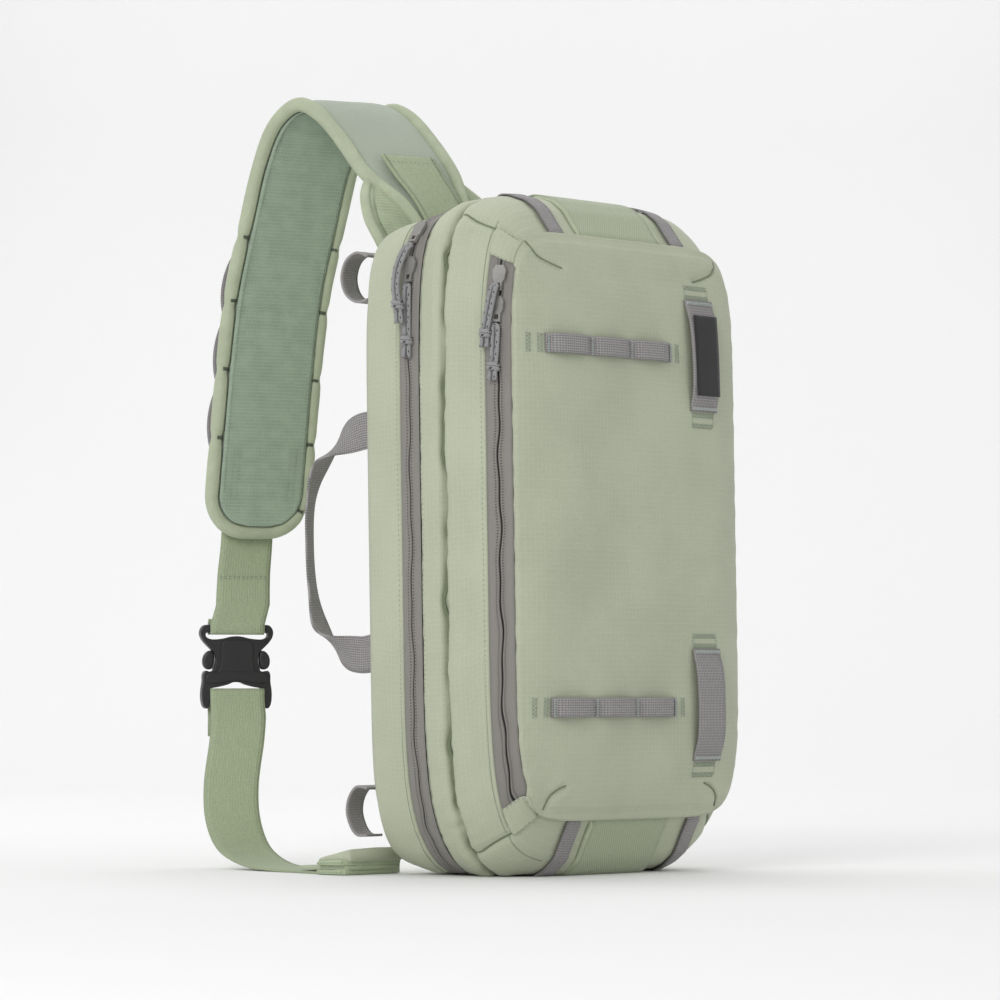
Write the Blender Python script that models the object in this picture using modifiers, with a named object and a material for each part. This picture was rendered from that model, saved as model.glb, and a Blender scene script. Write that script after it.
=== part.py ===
"""Fishing tackle sling bag, standing on its base with the shoulder strap arched behind it.

Metres, +Z up. The front panel faces -Y, the zipped side faces -X and the back
panel faces +Y. The origin is the middle of the base, on the ground.
"""

import math

import bmesh
import bpy
from mathutils import Matrix, Vector

# Body
BAG_WIDTH = 0.241
BAG_HEIGHT = 0.4475
GUSSET_DEPTH = 0.1284
FRONT_CROWN = 0.0090
BACK_EDGE_Y = 0.058
BODY_LEAN = 0.010
CLOTH_WALL = 0.0020
SEAM_GAP = 0.0006
LAID_GAP = 0.0005
BACK_PAD = 0.0060
BACK_CROWN = 0.0040
BAND_THICK = 0.0016
BASE_LIFT = LAID_GAP + BAND_THICK

# Each row is one section of the body, from the back edge to the front edge.
# Depth is a share of GUSSET_DEPTH, width of half BAG_WIDTH, top and bottom of BAG_HEIGHT.
# The powers say how square the upper and lower corners are.
BODY_SECTIONS = [
    # depth, width, top, bottom, top power, bottom power
    (0.000, 0.905, 0.936, 0.036, 9.0, 8.0),
    (0.055, 0.985, 0.958, 0.010, 9.0, 7.0),
    (0.218, 1.000, 0.970, -0.006, 8.5, 5.5),
    (0.303, 1.000, 0.978, -0.009, 8.0, 5.0),
    (0.452, 1.000, 0.988, -0.009, 7.0, 5.0),
    (0.562, 0.998, 0.995, -0.009, 6.5, 5.0),
    (0.588, 0.972, 0.985, -0.004, 6.5, 5.0),
    (0.614, 0.994, 0.998, -0.006, 6.3, 5.0),
    (0.690, 0.992, 1.000, -0.002, 6.0, 5.0),
    (0.790, 0.982, 0.992, 0.010, 6.0, 5.0),
    (0.860, 0.967, 0.978, 0.026, 6.5, 5.5),
    (0.930, 0.945, 0.950, 0.066, 7.5, 6.5),
    (1.000, 0.915, 0.926, 0.101, 9.0, 8.0),
]
CROWN_POWER = 6.0

# Zippers, as shares of GUSSET_DEPTH across and of the way round the body along
ZIP_TAPE = 0.0165
TAPE_THICK = 0.0012
MAIN_ZIP_DEPTH = 0.358
MAIN_ZIP_START = 0.035
MAIN_ZIP_END = 0.455
FRONT_ZIP_BACK = 0.860
FRONT_ZIP_DEPTH = 0.929
FRONT_ZIP_WIDTH = 0.0175
FRONT_ZIP_LOW = 0.046
FRONT_ZIP_HIGH = BAG_HEIGHT - 0.0435
ZIP_TAB_LENGTH = 0.020
SEAM_DEPTH = 0.588

# Bands and webbing laid on the body
TRIM_WIDTH = 0.013
LAID_END = 0.985
LAID_PIECES = [
    # name, middle as a share of BAG_WIDTH, width, back edge as a depth
    ("top_band", 0.008, 0.081, 0.10),
    ("top_webbing_left", -0.253, TRIM_WIDTH, 0.10),
    ("top_webbing_right", 0.251, TRIM_WIDTH, 0.10),
    ("bottom_band", 0.012, 0.076, 0.13),
    ("bottom_webbing_left", -0.220, TRIM_WIDTH, 0.13),
    ("bottom_webbing_right", 0.282, TRIM_WIDTH, 0.13),
]
LOOP_SIDE_OFFSET = 0.066
LOOP_WIDTH = 0.028
LOOP_THICK = 0.0016
LOOP_RISE = 0.0035
LOOP_FOOT = 0.005
CHAIN_WIDTH = 0.0125
CHAIN_RISE = 0.0040
CHAIN_STEP = 0.0405
CHAIN_LEFT = -0.088
CHAIN_CELLS = 3
CHAIN_FOOT = 0.004
CHAIN_HEIGHTS = {"upper_daisy_chain": BAG_HEIGHT - 0.1005, "lower_daisy_chain": 0.111}
LOOP_SPANS = {
    "upper_vertical_loop": (BAG_HEIGHT - 0.1385, BAG_HEIGHT - 0.0635),
    "lower_vertical_loop": (0.075, 0.150),
}
LABEL_WIDTH = 0.024
LABEL_HEIGHT = 0.054
LABEL_THICK = 0.0008
SIDE_POCKET_BULGE = 0.0095
SIDE_POCKET_GAP = 0.0020
SIDE_POCKET_WALL = 0.0014
SIDE_POCKET_LOW = 0.088
SIDE_POCKET_HIGH = BAG_HEIGHT - 0.0855
SIDE_POCKET_START = 0.17
SIDE_POCKET_SPAN = 0.68

# Shoulder strap
PAD_WIDTH = 0.080
PAD_THICK = 0.0085
BINDING_RADIUS = 0.0050
BINDING_GAP = 0.0020
STRAP_GAP = 0.0007
STRAP_WEBBING = 0.038
WEBBING_THICK = 0.0016
YOKE_WIDTH = 0.124
BUCKLE_WIDTH = 0.049
BUCKLE_THICK = 0.0085

STRAP_REACH = 0.165
STRAP_TOP = 0.526
PAD_CORNER = 0.020
LINING_THICK = 0.0010
YOKE_LENGTH = 0.110
YOKE_TAPER = 0.010
ANCHOR_START = 0.045
ANCHOR_END = 0.118
OUTER_CHAIN_START = 0.200
OUTER_CHAIN_END = 0.395
OUTER_CELLS = 3
OUTER_CHAIN_RISE = 0.011
OUTER_CHAIN_SHIFT = -0.014
OUTER_CHAIN_WIDTH = 0.025

# The strap's middle line, from the back panel over the top and down to the pad's end.
# Across is a share of BAG_WIDTH, behind of STRAP_REACH and height of STRAP_TOP; turned is
# the angle in plan, in degrees, between the strap's width and +X.
STRAP_ROUTE = [
    # across, behind, height, turned
    (-0.090, 0.0840, 0.707, 0.0),
    (-0.100, 0.0840, 0.779, 0.0),
    (-0.124, 0.139, 0.840, -8.0),
    (-0.147, 0.209, 0.882, -16.0),
    (-0.160, 0.261, 0.911, -20.0),
    (-0.170, 0.358, 0.951, -21.0),
    (-0.183, 0.473, 0.987, -21.0),
    (-0.193, 0.582, 1.000, -21.0),
    (-0.207, 0.694, 0.975, -21.0),
    (-0.222, 0.764, 0.922, -21.0),
    (-0.232, 0.818, 0.856, -21.0),
    (-0.251, 0.882, 0.760, -21.0),
    (-0.263, 0.915, 0.665, -21.0),
    (-0.278, 0.936, 0.551, -21.0),
    (-0.290, 0.948, 0.471, -21.0),
    (-0.297, 0.955, 0.432, -21.0),
]
UPPER_WEBBING = [
    # across, behind, height, turned
    (-0.293, 0.9955, 0.500, -21.0),
    (-0.300, 0.9955, 0.430, -22.0),
    (-0.318, 0.985, 0.385, -26.0),
    (-0.334, 0.966, 0.345, -31.0),
]
BUCKLE_PLACE = (-0.344, 0.992, 0.271, -33.0)
LOWER_WEBBING = [
    # across, behind, height, turned
    (-0.456, 0.2240, 0.0017, 0.0),
    (-0.448, 0.315, 0.0017, -2.0),
    (-0.436, 0.519, 0.0024, -6.0),
    (-0.423, 0.690, 0.0075, -14.0),
    (-0.412, 0.835, 0.026, -28.0),
    (-0.404, 0.915, 0.062, -40.0),
    (-0.392, 0.945, 0.108, -44.0),
    (-0.372, 0.943, 0.165, -42.0),
    (-0.358, 0.953, 0.196, -37.0),
]

# The buckle's outlines, as shares of BUCKLE_WIDTH, from its middle. Each is a right half.
MALE_HALF = [
    (0.470, 0.450), (0.490, 0.400), (0.480, 0.180), (0.440, 0.050), (0.380, -0.052),
    (0.296, -0.052), (0.290, -0.170), (0.200, -0.224),
]
UPPER_SLOT_HALF = [(0.400, 0.340), (0.400, 0.236)]
ARM_GAP = [(0.335, 0.170), (0.400, 0.170), (0.360, 0.020), (0.335, 0.020)]
FEMALE_HALF = [
    (0.206, -0.236), (0.302, -0.178), (0.308, -0.062), (0.400, -0.062), (0.480, -0.120), (0.500, -0.200),
    (0.470, -0.480), (0.500, -0.700), (0.470, -0.716),
]
LOWER_SLOT_HALF = [(0.400, -0.510), (0.400, -0.622)]

# Loops at the back edge: each row is a distance behind it and a height.
LOOP_SIDE = -0.104
REAR_LOOP_WIDTH = 0.015
HANDLE_WIDTH = 0.025
HANDLE_GRIP = 0.012
TOP_LOOP_ROUTE = [
    (0.0085, 0.4120), (0.019, 0.4150), (0.029, 0.4100), (0.0330, 0.3990), (0.029, 0.3880),
    (0.019, 0.3820), (0.0085, 0.3830),
]
BOTTOM_LOOP_ROUTE = [
    (0.0082, 0.0570), (0.018, 0.0580), (0.025, 0.0510), (0.027, 0.0410), (0.023, 0.0310),
    (0.017, 0.0260), (0.0082, 0.0260),
]
HANDLE_ROUTE = [
    (0.0099, 0.2960), (0.022, 0.2950), (0.042, 0.2880), (0.060, 0.2730), (0.0690, 0.2500),
    (0.0700, 0.2200), (0.0670, 0.1900), (0.0590, 0.1650), (0.042, 0.1500), (0.022, 0.1460),
    (0.0099, 0.1470),
]
WING_START = 0.0080
WING_END = 0.0340
WING_LEFT = -0.132
WING_RIGHT = -0.078
WING_HEIGHT = 0.0160
SLEEVE_LENGTH = 0.022

# Sliders: how far they are under the top of BAG_HEIGHT, and their zipper's share of GUSSET_DEPTH.
SLIDER_THICK = 0.0026
SLIDERS = [
    # name, under the top, depth
    ("main_slider_upper", 0.0235, MAIN_ZIP_DEPTH),
    ("main_slider_lower", 0.0475, MAIN_ZIP_DEPTH),
    ("front_slider_upper", 0.0575, FRONT_ZIP_DEPTH),
    ("front_slider_lower", 0.0775, FRONT_ZIP_DEPTH),
]
SLIDER_EDGE = 0.0003
SLIDER_HALF = [
    (0.0030, 0.0065), (0.0048, 0.0030), (0.0042, -0.0030), (0.0030, -0.0050), (0.0028, -0.0105),
]
SLIDER_EYE = [(0.0014, -0.0058), (0.0014, -0.0086)]
PULL_RADIUS = 0.0015
# Each row is a place across, a place along Y, and how far it is under the top of BAG_HEIGHT.
PULL_ROUTES = {
    "main_pull_upper": [
        (-0.1345, 0.0169, 0.0850), (-0.1350, 0.0173, 0.0730), (-0.1345, 0.0199, 0.0605),
        (-0.1318, 0.0203, 0.0475), (-0.1290, 0.0168, 0.0363), (-0.1269, 0.0145, 0.0336),
        (-0.1263, 0.0126, 0.0325), (-0.1269, 0.0112, 0.0336), (-0.1290, 0.0128, 0.0363),
        (-0.1318, 0.0163, 0.0475), (-0.1345, 0.0161, 0.0605), (-0.1350, 0.0137, 0.0730),
        (-0.1345, 0.0121, 0.0850),
    ],
    "main_pull_lower": [
        (-0.1302, 0.0144, 0.1075), (-0.1298, 0.0137, 0.0960), (-0.1300, 0.0138, 0.0855),
        (-0.1302, 0.0139, 0.0735), (-0.1300, 0.0139, 0.0630), (-0.1296, 0.0134, 0.0605),
        (-0.1295, 0.0119, 0.0594), (-0.1296, 0.0104, 0.0605), (-0.1300, 0.0099, 0.0630),
        (-0.1302, 0.0099, 0.0735), (-0.1300, 0.0100, 0.0855), (-0.1298, 0.0101, 0.0960),
        (-0.1302, 0.0096, 0.1075),
    ],
    "front_pull_upper": [
        (-0.1284, -0.0534, 0.1040), (-0.1275, -0.0542, 0.0950), (-0.1280, -0.0561, 0.0865),
        (-0.1278, -0.0580, 0.0775), (-0.1268, -0.0602, 0.0670), (-0.1255, -0.0611, 0.0647),
        (-0.1256, -0.0627, 0.0637), (-0.1255, -0.0642, 0.0647), (-0.1268, -0.0642, 0.0670),
        (-0.1278, -0.0620, 0.0775), (-0.1280, -0.0599, 0.0865), (-0.1275, -0.0578, 0.0950),
        (-0.1284, -0.0582, 0.1040),
    ],
    "front_pull_lower": [
        (-0.1258, -0.0578, 0.1255), (-0.1250, -0.0590, 0.1165), (-0.1252, -0.0599, 0.1090),
        (-0.1250, -0.0602, 0.1015), (-0.1245, -0.0602, 0.0930), (-0.1243, -0.0607, 0.0908),
        (-0.1242, -0.0622, 0.0898), (-0.1243, -0.0637, 0.0908), (-0.1245, -0.0642, 0.0930),
        (-0.1250, -0.0642, 0.1015), (-0.1252, -0.0637, 0.1090), (-0.1250, -0.0626, 0.1165),
        (-0.1258, -0.0626, 0.1255),
    ],
}

CORNERS = 6
SIDES = 9
ENDS = 8

collection = None


def clear_scene():
    for item in list(bpy.data.objects):
        bpy.data.objects.remove(item, do_unlink=True)


def make_material(name, colour, roughness, metallic=0.0):
    material = bpy.data.materials.new(name)
    material.use_nodes = True
    shader = material.node_tree.nodes["Principled BSDF"]
    shader.inputs["Base Color"].default_value = (*colour, 1.0)
    shader.inputs["Roughness"].default_value = roughness
    shader.inputs["Metallic"].default_value = metallic
    material.diffuse_color = (*colour, 1.0)
    return material


def finish_object(name, mesh, material):
    piece = bpy.data.objects.new(name, mesh)
    piece.data.materials.append(material)
    collection.objects.link(piece)
    return piece


def smooth(piece, degrees=35.0):
    piece.data.shade_smooth()
    piece.data.set_sharp_from_angle(angle=math.radians(degrees))
    return piece


def sheet(name, rows, thickness, material, offset=-1.0, closed=False, missing=()):
    """An open grid of points made solid: rows run one way, the points of a row the other."""
    mesh = bpy.data.meshes.new(name)
    work = bmesh.new()
    grid = [[work.verts.new(point) for point in row] for row in rows]
    columns = len(grid[0])
    for i in range(len(grid) - (0 if closed else 1)):
        for j in range(columns - 1):
            if (i, j) in missing:
                continue
            first, second = grid[i], grid[(i + 1) % len(grid)]
            work.faces.new((first[j], first[j + 1], second[j + 1], second[j]))
    loose = [vert for vert in work.verts if not vert.link_faces]
    bmesh.ops.delete(work, geom=loose, context="VERTS")
    work.to_mesh(mesh)
    work.free()
    piece = finish_object(name, mesh, material)
    solid = piece.modifiers.new("Wall", "SOLIDIFY")
    solid.thickness = thickness
    solid.offset = offset
    solid.use_even_offset = True
    return smooth(piece)


def blend_rows(rows, place):
    """The values of the row at this place, read between the rows of a table."""
    place = min(max(place, rows[0][0]), rows[-1][0])
    for low, high in zip(rows, rows[1:]):
        if place <= high[0]:
            part = (place - low[0]) / (high[0] - low[0])
            return [a + (b - a) * part for a, b in zip(low[1:], high[1:])]
    return list(rows[-1][1:])


def square_point(turn):
    """A place on the unit square, going from its bottom middle up the -X side and round."""
    run = (turn % 1.0) * 2 * (BAG_WIDTH + BAG_HEIGHT)
    half = BAG_WIDTH / 2
    if run < half:
        return -run / half, -1.0
    run -= half
    if run < BAG_HEIGHT:
        return -1.0, 2 * run / BAG_HEIGHT - 1
    run -= BAG_HEIGHT
    if run < BAG_WIDTH:
        return 2 * run / BAG_WIDTH - 1, 1.0
    run -= BAG_WIDTH
    if run < BAG_HEIGHT:
        return 1.0, 1 - 2 * run / BAG_HEIGHT
    run -= BAG_HEIGHT
    return 1 - run / half, -1.0


def ground(z, out):
    return max(z, BASE_LIFT - out)


def body_point(across, up, depth):
    """The body's outside in the direction of a place on the unit square's edge."""
    width, top, bottom, top_power, bottom_power = blend_rows(BODY_SECTIONS, min(depth, 1.0))
    share = (up + 1) / 2
    power = bottom_power + (top_power - bottom_power) * share
    reach = (abs(across) ** power + abs(up) ** power) ** (-1 / power)
    rho = max(2.0 - depth, 0.0) if depth > 1 else 1.0
    half_height = BAG_HEIGHT * (top - bottom) / 2
    middle = BAG_HEIGHT * (top + bottom) / 2
    x = across * reach * width * BAG_WIDTH / 2 * rho
    z = middle + up * reach * half_height * rho
    y = BACK_EDGE_Y - GUSSET_DEPTH * min(depth, 1.0)
    if depth > 1:
        y -= CLOTH_WALL + LAID_GAP + FRONT_CROWN * (1 - rho**CROWN_POWER)
    return Vector((x - BODY_LEAN * z / BAG_HEIGHT, y, z))


def skin_point(turn, depth):
    """A place on the gusset's outside."""
    return body_point(*square_point(turn), depth)


def skin(turn, depth, out=0.0):
    """The same place moved out of the body by this distance, and kept above the ground."""
    here = skin_point(turn, depth)
    step_t = skin_point(turn + 0.002, depth) - skin_point(turn - 0.002, depth)
    step_d = skin_point(turn, min(depth + 0.004, 1.0)) - skin_point(turn, max(depth - 0.004, 0.0))
    normal = step_t.cross(step_d)
    normal = -normal.normalized()
    moved = here + normal * out
    moved.z = ground(moved.z, out)
    return moved


def turns(start=0.0, end=1.0):
    """The stations round the body, closer together at its corners."""
    round_way = 2 * (BAG_WIDTH + BAG_HEIGHT)
    low_corner = BAG_WIDTH / 2 / round_way
    high_corner = low_corner + BAG_HEIGHT / round_way
    near = 0.042
    stops = [0.0, low_corner - near, low_corner + near, high_corner - near, high_corner + near, 0.5]
    counts = [ENDS // 4, CORNERS, SIDES, CORNERS, ENDS // 4]
    half = []
    for low, high, count in zip(stops, stops[1:], counts):
        half += [low + (high - low) * i / count for i in range(count)]
    half.append(0.5)
    ring = half + [1.0 - value for value in reversed(half[1:-1])]
    if (start, end) == (0.0, 1.0):
        return ring
    every = sorted(value + lap for value in ring for lap in (-1.0, 0.0, 1.0))
    inner = [value for value in every if start + 0.004 < value < end - 0.004]
    return [start] + inner + [end]


def depths(start, end):
    """The stations across a strip of the body: its two edges and the sections between."""
    inner = [row[0] for row in BODY_SECTIONS if start + 0.004 < row[0] < end - 0.004]
    return [start] + inner + [end]


def turn_at_height(height, depth, side=-1):
    """Where round the body its side reaches this height."""
    low, high = 0.05, 0.45
    for _ in range(30):
        middle = (low + high) / 2
        if skin_point(middle, depth).z < height:
            low = middle
        else:
            high = middle
    return low if side < 0 else 1.0 - low


def turn_at_width(x, depth, top=True):
    """Where round the body its top or bottom passes this distance from the body's middle."""
    low, high = (0.36, 0.64) if top else (-0.14, 0.14)
    for _ in range(30):
        middle = (low + high) / 2
        point = skin_point(middle, depth)
        here = point.x + BODY_LEAN * point.z / BAG_HEIGHT
        if (here < x) == top:
            low = middle
        else:
            high = middle
    return low


def front_depth(x, z):
    """The rho of a place on the front panel, as the depth that skin_point takes."""
    width, top, bottom, top_power, bottom_power = BODY_SECTIONS[-1][1:]
    across = (x + BODY_LEAN * z / BAG_HEIGHT) / (width * BAG_WIDTH / 2)
    half_height = BAG_HEIGHT * (top - bottom) / 2
    up = (z - BAG_HEIGHT * (top + bottom) / 2) / half_height
    share = (max(min(up, 1.0), -1.0) + 1) / 2
    power = bottom_power + (top_power - bottom_power) * share
    return (abs(across) ** power + abs(up) ** power) ** (1 / power)


def front_point(side, z, out=0.0):
    """A place on the front panel, given from the panel's own middle line, moved out of it."""
    x = side - BODY_LEAN * z / BAG_HEIGHT
    rho = min(front_depth(x, z), 1.0)
    y = BACK_EDGE_Y - GUSSET_DEPTH - CLOTH_WALL - LAID_GAP - FRONT_CROWN * (1 - rho**CROWN_POWER)
    return Vector((x, y - out, z))


def edge_share():
    """Half of a seam's gap, as a share of the gusset's depth."""
    return SEAM_GAP / 2 / GUSSET_DEPTH


def edge_turn():
    """Half of a seam's gap, as a share of the way round the body."""
    return SEAM_GAP / 4 / (BAG_WIDTH + BAG_HEIGHT)


def zip_edges():
    """The two long edges of the main zipper and of the front one, as depths."""
    half_main = ZIP_TAPE / 2 / GUSSET_DEPTH
    return (
        (MAIN_ZIP_DEPTH - half_main, MAIN_ZIP_DEPTH + half_main),
        (FRONT_ZIP_BACK, FRONT_ZIP_BACK + FRONT_ZIP_WIDTH / GUSSET_DEPTH),
    )


def ring_strip(name, start, end, material):
    rows = [[skin(turn, depth) for depth in depths(start, end)] for turn in turns()]
    return sheet(name, rows, CLOTH_WALL, material, closed=True)


def arc_strip(name, first, last, start, end, material, out=0.0, thick=CLOTH_WALL, offset=-1.0):
    rows = [[skin(turn, depth, out) for depth in depths(start, end)] for turn in turns(first, last)]
    return sheet(name, rows, thick, material, offset)


def build_gussets(cloth, tape):
    """The walls that run round the body, with the zippers set between them."""
    (main_back, main_front), (front_back, front_front) = zip_edges()
    gap, turn_gap = edge_share(), edge_turn()
    ring_strip("rear_gusset", 0.0, main_back - gap, cloth)
    arc_strip("main_zipper", MAIN_ZIP_START + turn_gap, MAIN_ZIP_END - turn_gap,
              main_back + gap, main_front - gap, tape, thick=TAPE_THICK)
    arc_strip("side_gusset", MAIN_ZIP_END + turn_gap, 1.0 + MAIN_ZIP_START - turn_gap,
              main_back + gap, main_front - gap, cloth)
    ring_strip("middle_gusset", main_front + gap, SEAM_DEPTH - gap, cloth)

    low = turn_at_height(FRONT_ZIP_LOW, FRONT_ZIP_DEPTH)
    high = turn_at_height(FRONT_ZIP_HIGH, FRONT_ZIP_DEPTH)
    ring = [turn for turn in turns() if min(abs(turn - low), abs(turn - high)) > 0.004]
    ring = sorted(ring + [low, high])
    across = depths(SEAM_DEPTH + gap, 1.0)
    window = across.index(front_back)
    missing = {(ring.index(turn), column) for turn in ring if low <= turn < high
               for column in range(window, len(across) - 1)}
    rows = [[skin(turn, depth) for depth in across] for turn in ring]
    sheet("pocket_gusset", rows, CLOTH_WALL, cloth, closed=True, missing=missing)
    arc_strip("front_zipper", low + 3 * turn_gap, high - 3 * turn_gap,
              front_back + 2 * gap, front_front - gap, tape, thick=TAPE_THICK)
    tab_turn = ZIP_TAB_LENGTH / (2 * (BAG_WIDTH + BAG_HEIGHT))
    for name, middle in (("front_zip_tab_bottom", low), ("front_zip_tab_top", high)):
        inward = tab_turn if middle == low else -tab_turn
        first, last = sorted((middle + 0.35 * inward, middle - inward))
        arc_strip(name, first, last, front_back - 0.010, front_front - 0.005, cloth,
                  2 * LAID_GAP, LOOP_THICK / 2, 1.0)


def crowded(count):
    """Numbers from -1 to 1, closer together towards the ends."""
    return [math.sin(math.pi / 2 * (2 * i / count - 1)) for i in range(count + 1)]


def disc_direction(across, up):
    """The edge place and the share of the way out to it, for a place inside the unit square."""
    share = max(abs(across), abs(up))
    if share < 1e-6:
        return 0.0, 1.0, 0.0
    return across / share, up / share, share


def build_front_panel(cloth):
    edge = 1.0 - SEAM_GAP / BAG_WIDTH
    rows = []
    for up in crowded(14):
        row = []
        for across in crowded(10):
            edge_across, edge_up, share = disc_direction(across * edge, up * edge)
            row.append(body_point(edge_across, edge_up, 2.0 - share))
        rows.append(row)
    return sheet("front_panel", rows, CLOTH_WALL, cloth)


def build_back_panel(cloth):
    """A padded panel that closes the back, its face a little crowned."""
    rows = []
    for up in crowded(12):
        row = []
        for across in crowded(8):
            edge_across, edge_up, share = disc_direction(across, up)
            edge_point = body_point(edge_across, edge_up, 0.0)
            centre = Vector((-BODY_LEAN / 2, 0.0, BAG_HEIGHT * 0.4825))
            point = centre + (edge_point - centre) * share
            point.y = BACK_EDGE_Y + SEAM_GAP + BACK_CROWN * (1 - share**4)
            row.append(point)
        rows.append(row[::-1])
    return sheet("back_panel", rows, BACK_PAD, cloth, offset=1.0)


def laid_band(name, left, right, start, end, top, material, columns=2):
    """A band of cloth or webbing laid front to back over the body's top or its bottom."""
    rows = []
    for depth in depths(start, end):
        row = []
        for i in range(columns + 1):
            x = left + (right - left) * i / columns
            row.append(skin(turn_at_width(x, depth, top), depth, LAID_GAP))
        rows.append(row[::-1] if top else row)
    piece = sheet(name, rows, BAND_THICK, material, offset=1.0)
    piece.modifiers["Wall"].use_even_offset = False
    return piece


def build_bands(knit, webbing):
    for name, middle, width, start in LAID_PIECES:
        left = middle * BAG_WIDTH - width / 2
        top = name.startswith("top")
        if name.endswith("band"):
            laid_band(name, left, left + width, start, LAID_END, top, knit, 4)
        else:
            laid_band(name, left, left + width, start, LAID_END, top, webbing, 1)


def raised_profile(length, rise, foot, steps):
    """Places along a tacked strip of webbing: how far along, and how far it stands off."""
    inner = [foot + (length - 2 * foot) * i / steps for i in range(steps + 1)]
    places = [(0.0, 0.0)]
    for run in inner:
        share = (run - foot) / (length - 2 * foot)
        places.append((run, rise * (1 - abs(2 * share - 1) ** 4)))
    return places + [(length, 0.0)]


def build_daisy_chains(webbing):
    for name, height in CHAIN_HEIGHTS.items():
        rows = []
        for cell in range(CHAIN_CELLS):
            profile = raised_profile(CHAIN_STEP, CHAIN_RISE, CHAIN_FOOT, 6)
            for run, rise in profile[:-1] if cell < CHAIN_CELLS - 1 else profile:
                side = CHAIN_LEFT + cell * CHAIN_STEP + run
                rows.append([front_point(side, height + end * CHAIN_WIDTH / 2, LAID_GAP + rise)
                             for end in (1, -1)])
        sheet(name, rows, LOOP_THICK, webbing, offset=1.0)


def build_vertical_loops(webbing, plain):
    for name, (low, high) in LOOP_SPANS.items():
        rows = []
        for run, rise in raised_profile(high - low, LOOP_RISE, LOOP_FOOT, 8):
            rows.append([front_point(LOOP_SIDE_OFFSET + end * LOOP_WIDTH / 2, low + run, LAID_GAP + rise)
                         for end in (-1, 1)])
        sheet(name, rows, LOOP_THICK, webbing, offset=1.0)
    low, high = LOOP_SPANS["upper_vertical_loop"]
    out = LAID_GAP + LOOP_RISE + LOOP_THICK + LAID_GAP
    rows = []
    for i in range(5):
        z = (low + high) / 2 + LABEL_HEIGHT * (i / 4 - 0.5)
        rows.append([front_point(LOOP_SIDE_OFFSET + end * LABEL_WIDTH / 2, z, out) for end in (-1, 1)])
    sheet("plain_label", rows, LABEL_THICK, plain, offset=1.0)


def build_side_pocket(cloth):
    """A gathered pocket on the far side, open at its mouth."""
    middle = SIDE_POCKET_START + SIDE_POCKET_SPAN / 2
    low, high = turn_at_height(SIDE_POCKET_LOW, middle, 1), turn_at_height(SIDE_POCKET_HIGH, middle, 1)
    rows = []
    for i in range(13):
        up = i / 12
        turn = low + (high - low) * up
        row = []
        for j in range(9):
            across = j / 8
            swell = math.sin(math.pi * across) ** 0.6
            foot = min(1.0, up * 5) ** 0.5
            depth = SIDE_POCKET_START + SIDE_POCKET_SPAN * across
            drawn_in = BAG_WIDTH / 2 * (1 - blend_rows(BODY_SECTIONS, depth)[0])
            rise = (SIDE_POCKET_BULGE + drawn_in) * swell * foot
            row.append(skin(turn, depth, SIDE_POCKET_GAP + rise))
        rows.append(row[::-1])
    return sheet("side_pocket", rows, SIDE_POCKET_WALL, cloth, offset=1.0)


def along_route(rows, steps):
    """Places and turned angles read from a smooth curve through a route's rows."""
    padded = [rows[0]] + list(rows) + [rows[-1]]
    found = []
    for before, first, second, after in zip(padded, padded[1:], padded[2:], padded[3:]):
        for i in range(steps):
            t = i / steps
            found.append([
                0.5 * (2 * b + (c - a) * t + (2 * a - 5 * b + 4 * c - d) * t**2
                       + (3 * b - a - 3 * c + d) * t**3)
                for a, b, c, d in zip(before, first, second, after)
            ])
    return found + [list(rows[-1])]


def frames_of(places):
    """A centre, a direction across and a direction off the face, for each place of a route."""
    points = [Vector(place[:3]) for place in places]
    frames = []
    for i, place in enumerate(places):
        ahead = points[min(i + 1, len(points) - 1)] - points[max(i - 1, 0)]
        angle = math.radians(place[3])
        across = Vector((math.cos(angle), math.sin(angle), 0.0))
        away = across.cross(ahead.normalized()).normalized()
        frames.append((points[i], across, away))
    return frames


def distances(frames):
    run = [0.0]
    for (before, *_), (after, *_) in zip(frames, frames[1:]):
        run.append(run[-1] + (after - before).length)
    return run


def frame_at(frames, distance):
    """The frame at a distance along a route."""
    run = distances(frames)
    for i in range(len(run) - 1):
        if distance <= run[i + 1]:
            part = (distance - run[i]) / (run[i + 1] - run[i])
            return tuple(a.lerp(b, part) for a, b in zip(frames[i], frames[i + 1]))
    return frames[-1]


def stretch(frames, start, end, pieces):
    """The part of a route between two distances along it, in equal pieces."""
    return [frame_at(frames, start + (end - start) * i / pieces) for i in range(pieces + 1)]


def ribbon(name, frames, half_width, thickness, material, lift=0.0, shift=0.0, columns=2):
    """A flat strap along a route. The half width is one number, or a function of the distance."""
    rows = []
    for (centre, across, away), run in zip(frames, distances(frames)):
        half = half_width(run) if callable(half_width) else half_width
        rows.append([centre + across * (shift + half * (2 * i / columns - 1)) + away * lift
                     for i in range(columns + 1)])
    return sheet(name, rows, thickness, material, offset=0.0)


def tube(name, points, radius, material, resolution=2):
    curve = bpy.data.curves.new(name, "CURVE")
    curve.dimensions = "3D"
    curve.bevel_depth = radius
    curve.bevel_resolution = resolution
    curve.use_fill_caps = True
    spline = curve.splines.new("POLY")
    spline.points.add(len(points) - 1)
    for knot, point in zip(spline.points, points):
        knot.co = (*point, 1.0)
    spline.use_smooth = True
    return finish_object(name, curve, material)


def rounded_end(run, length, half, radius):
    """The half width of a strap whose far end has round corners."""
    left = max(length - run, 0.0)
    if left >= radius:
        return half
    return half - radius + math.sqrt(max(radius**2 - (radius - left) ** 2, 0.0))


def strap_place(row):
    across, behind, height, angle = row
    return (across * BAG_WIDTH, BACK_EDGE_Y + behind * STRAP_REACH, height * STRAP_TOP, angle)


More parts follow.
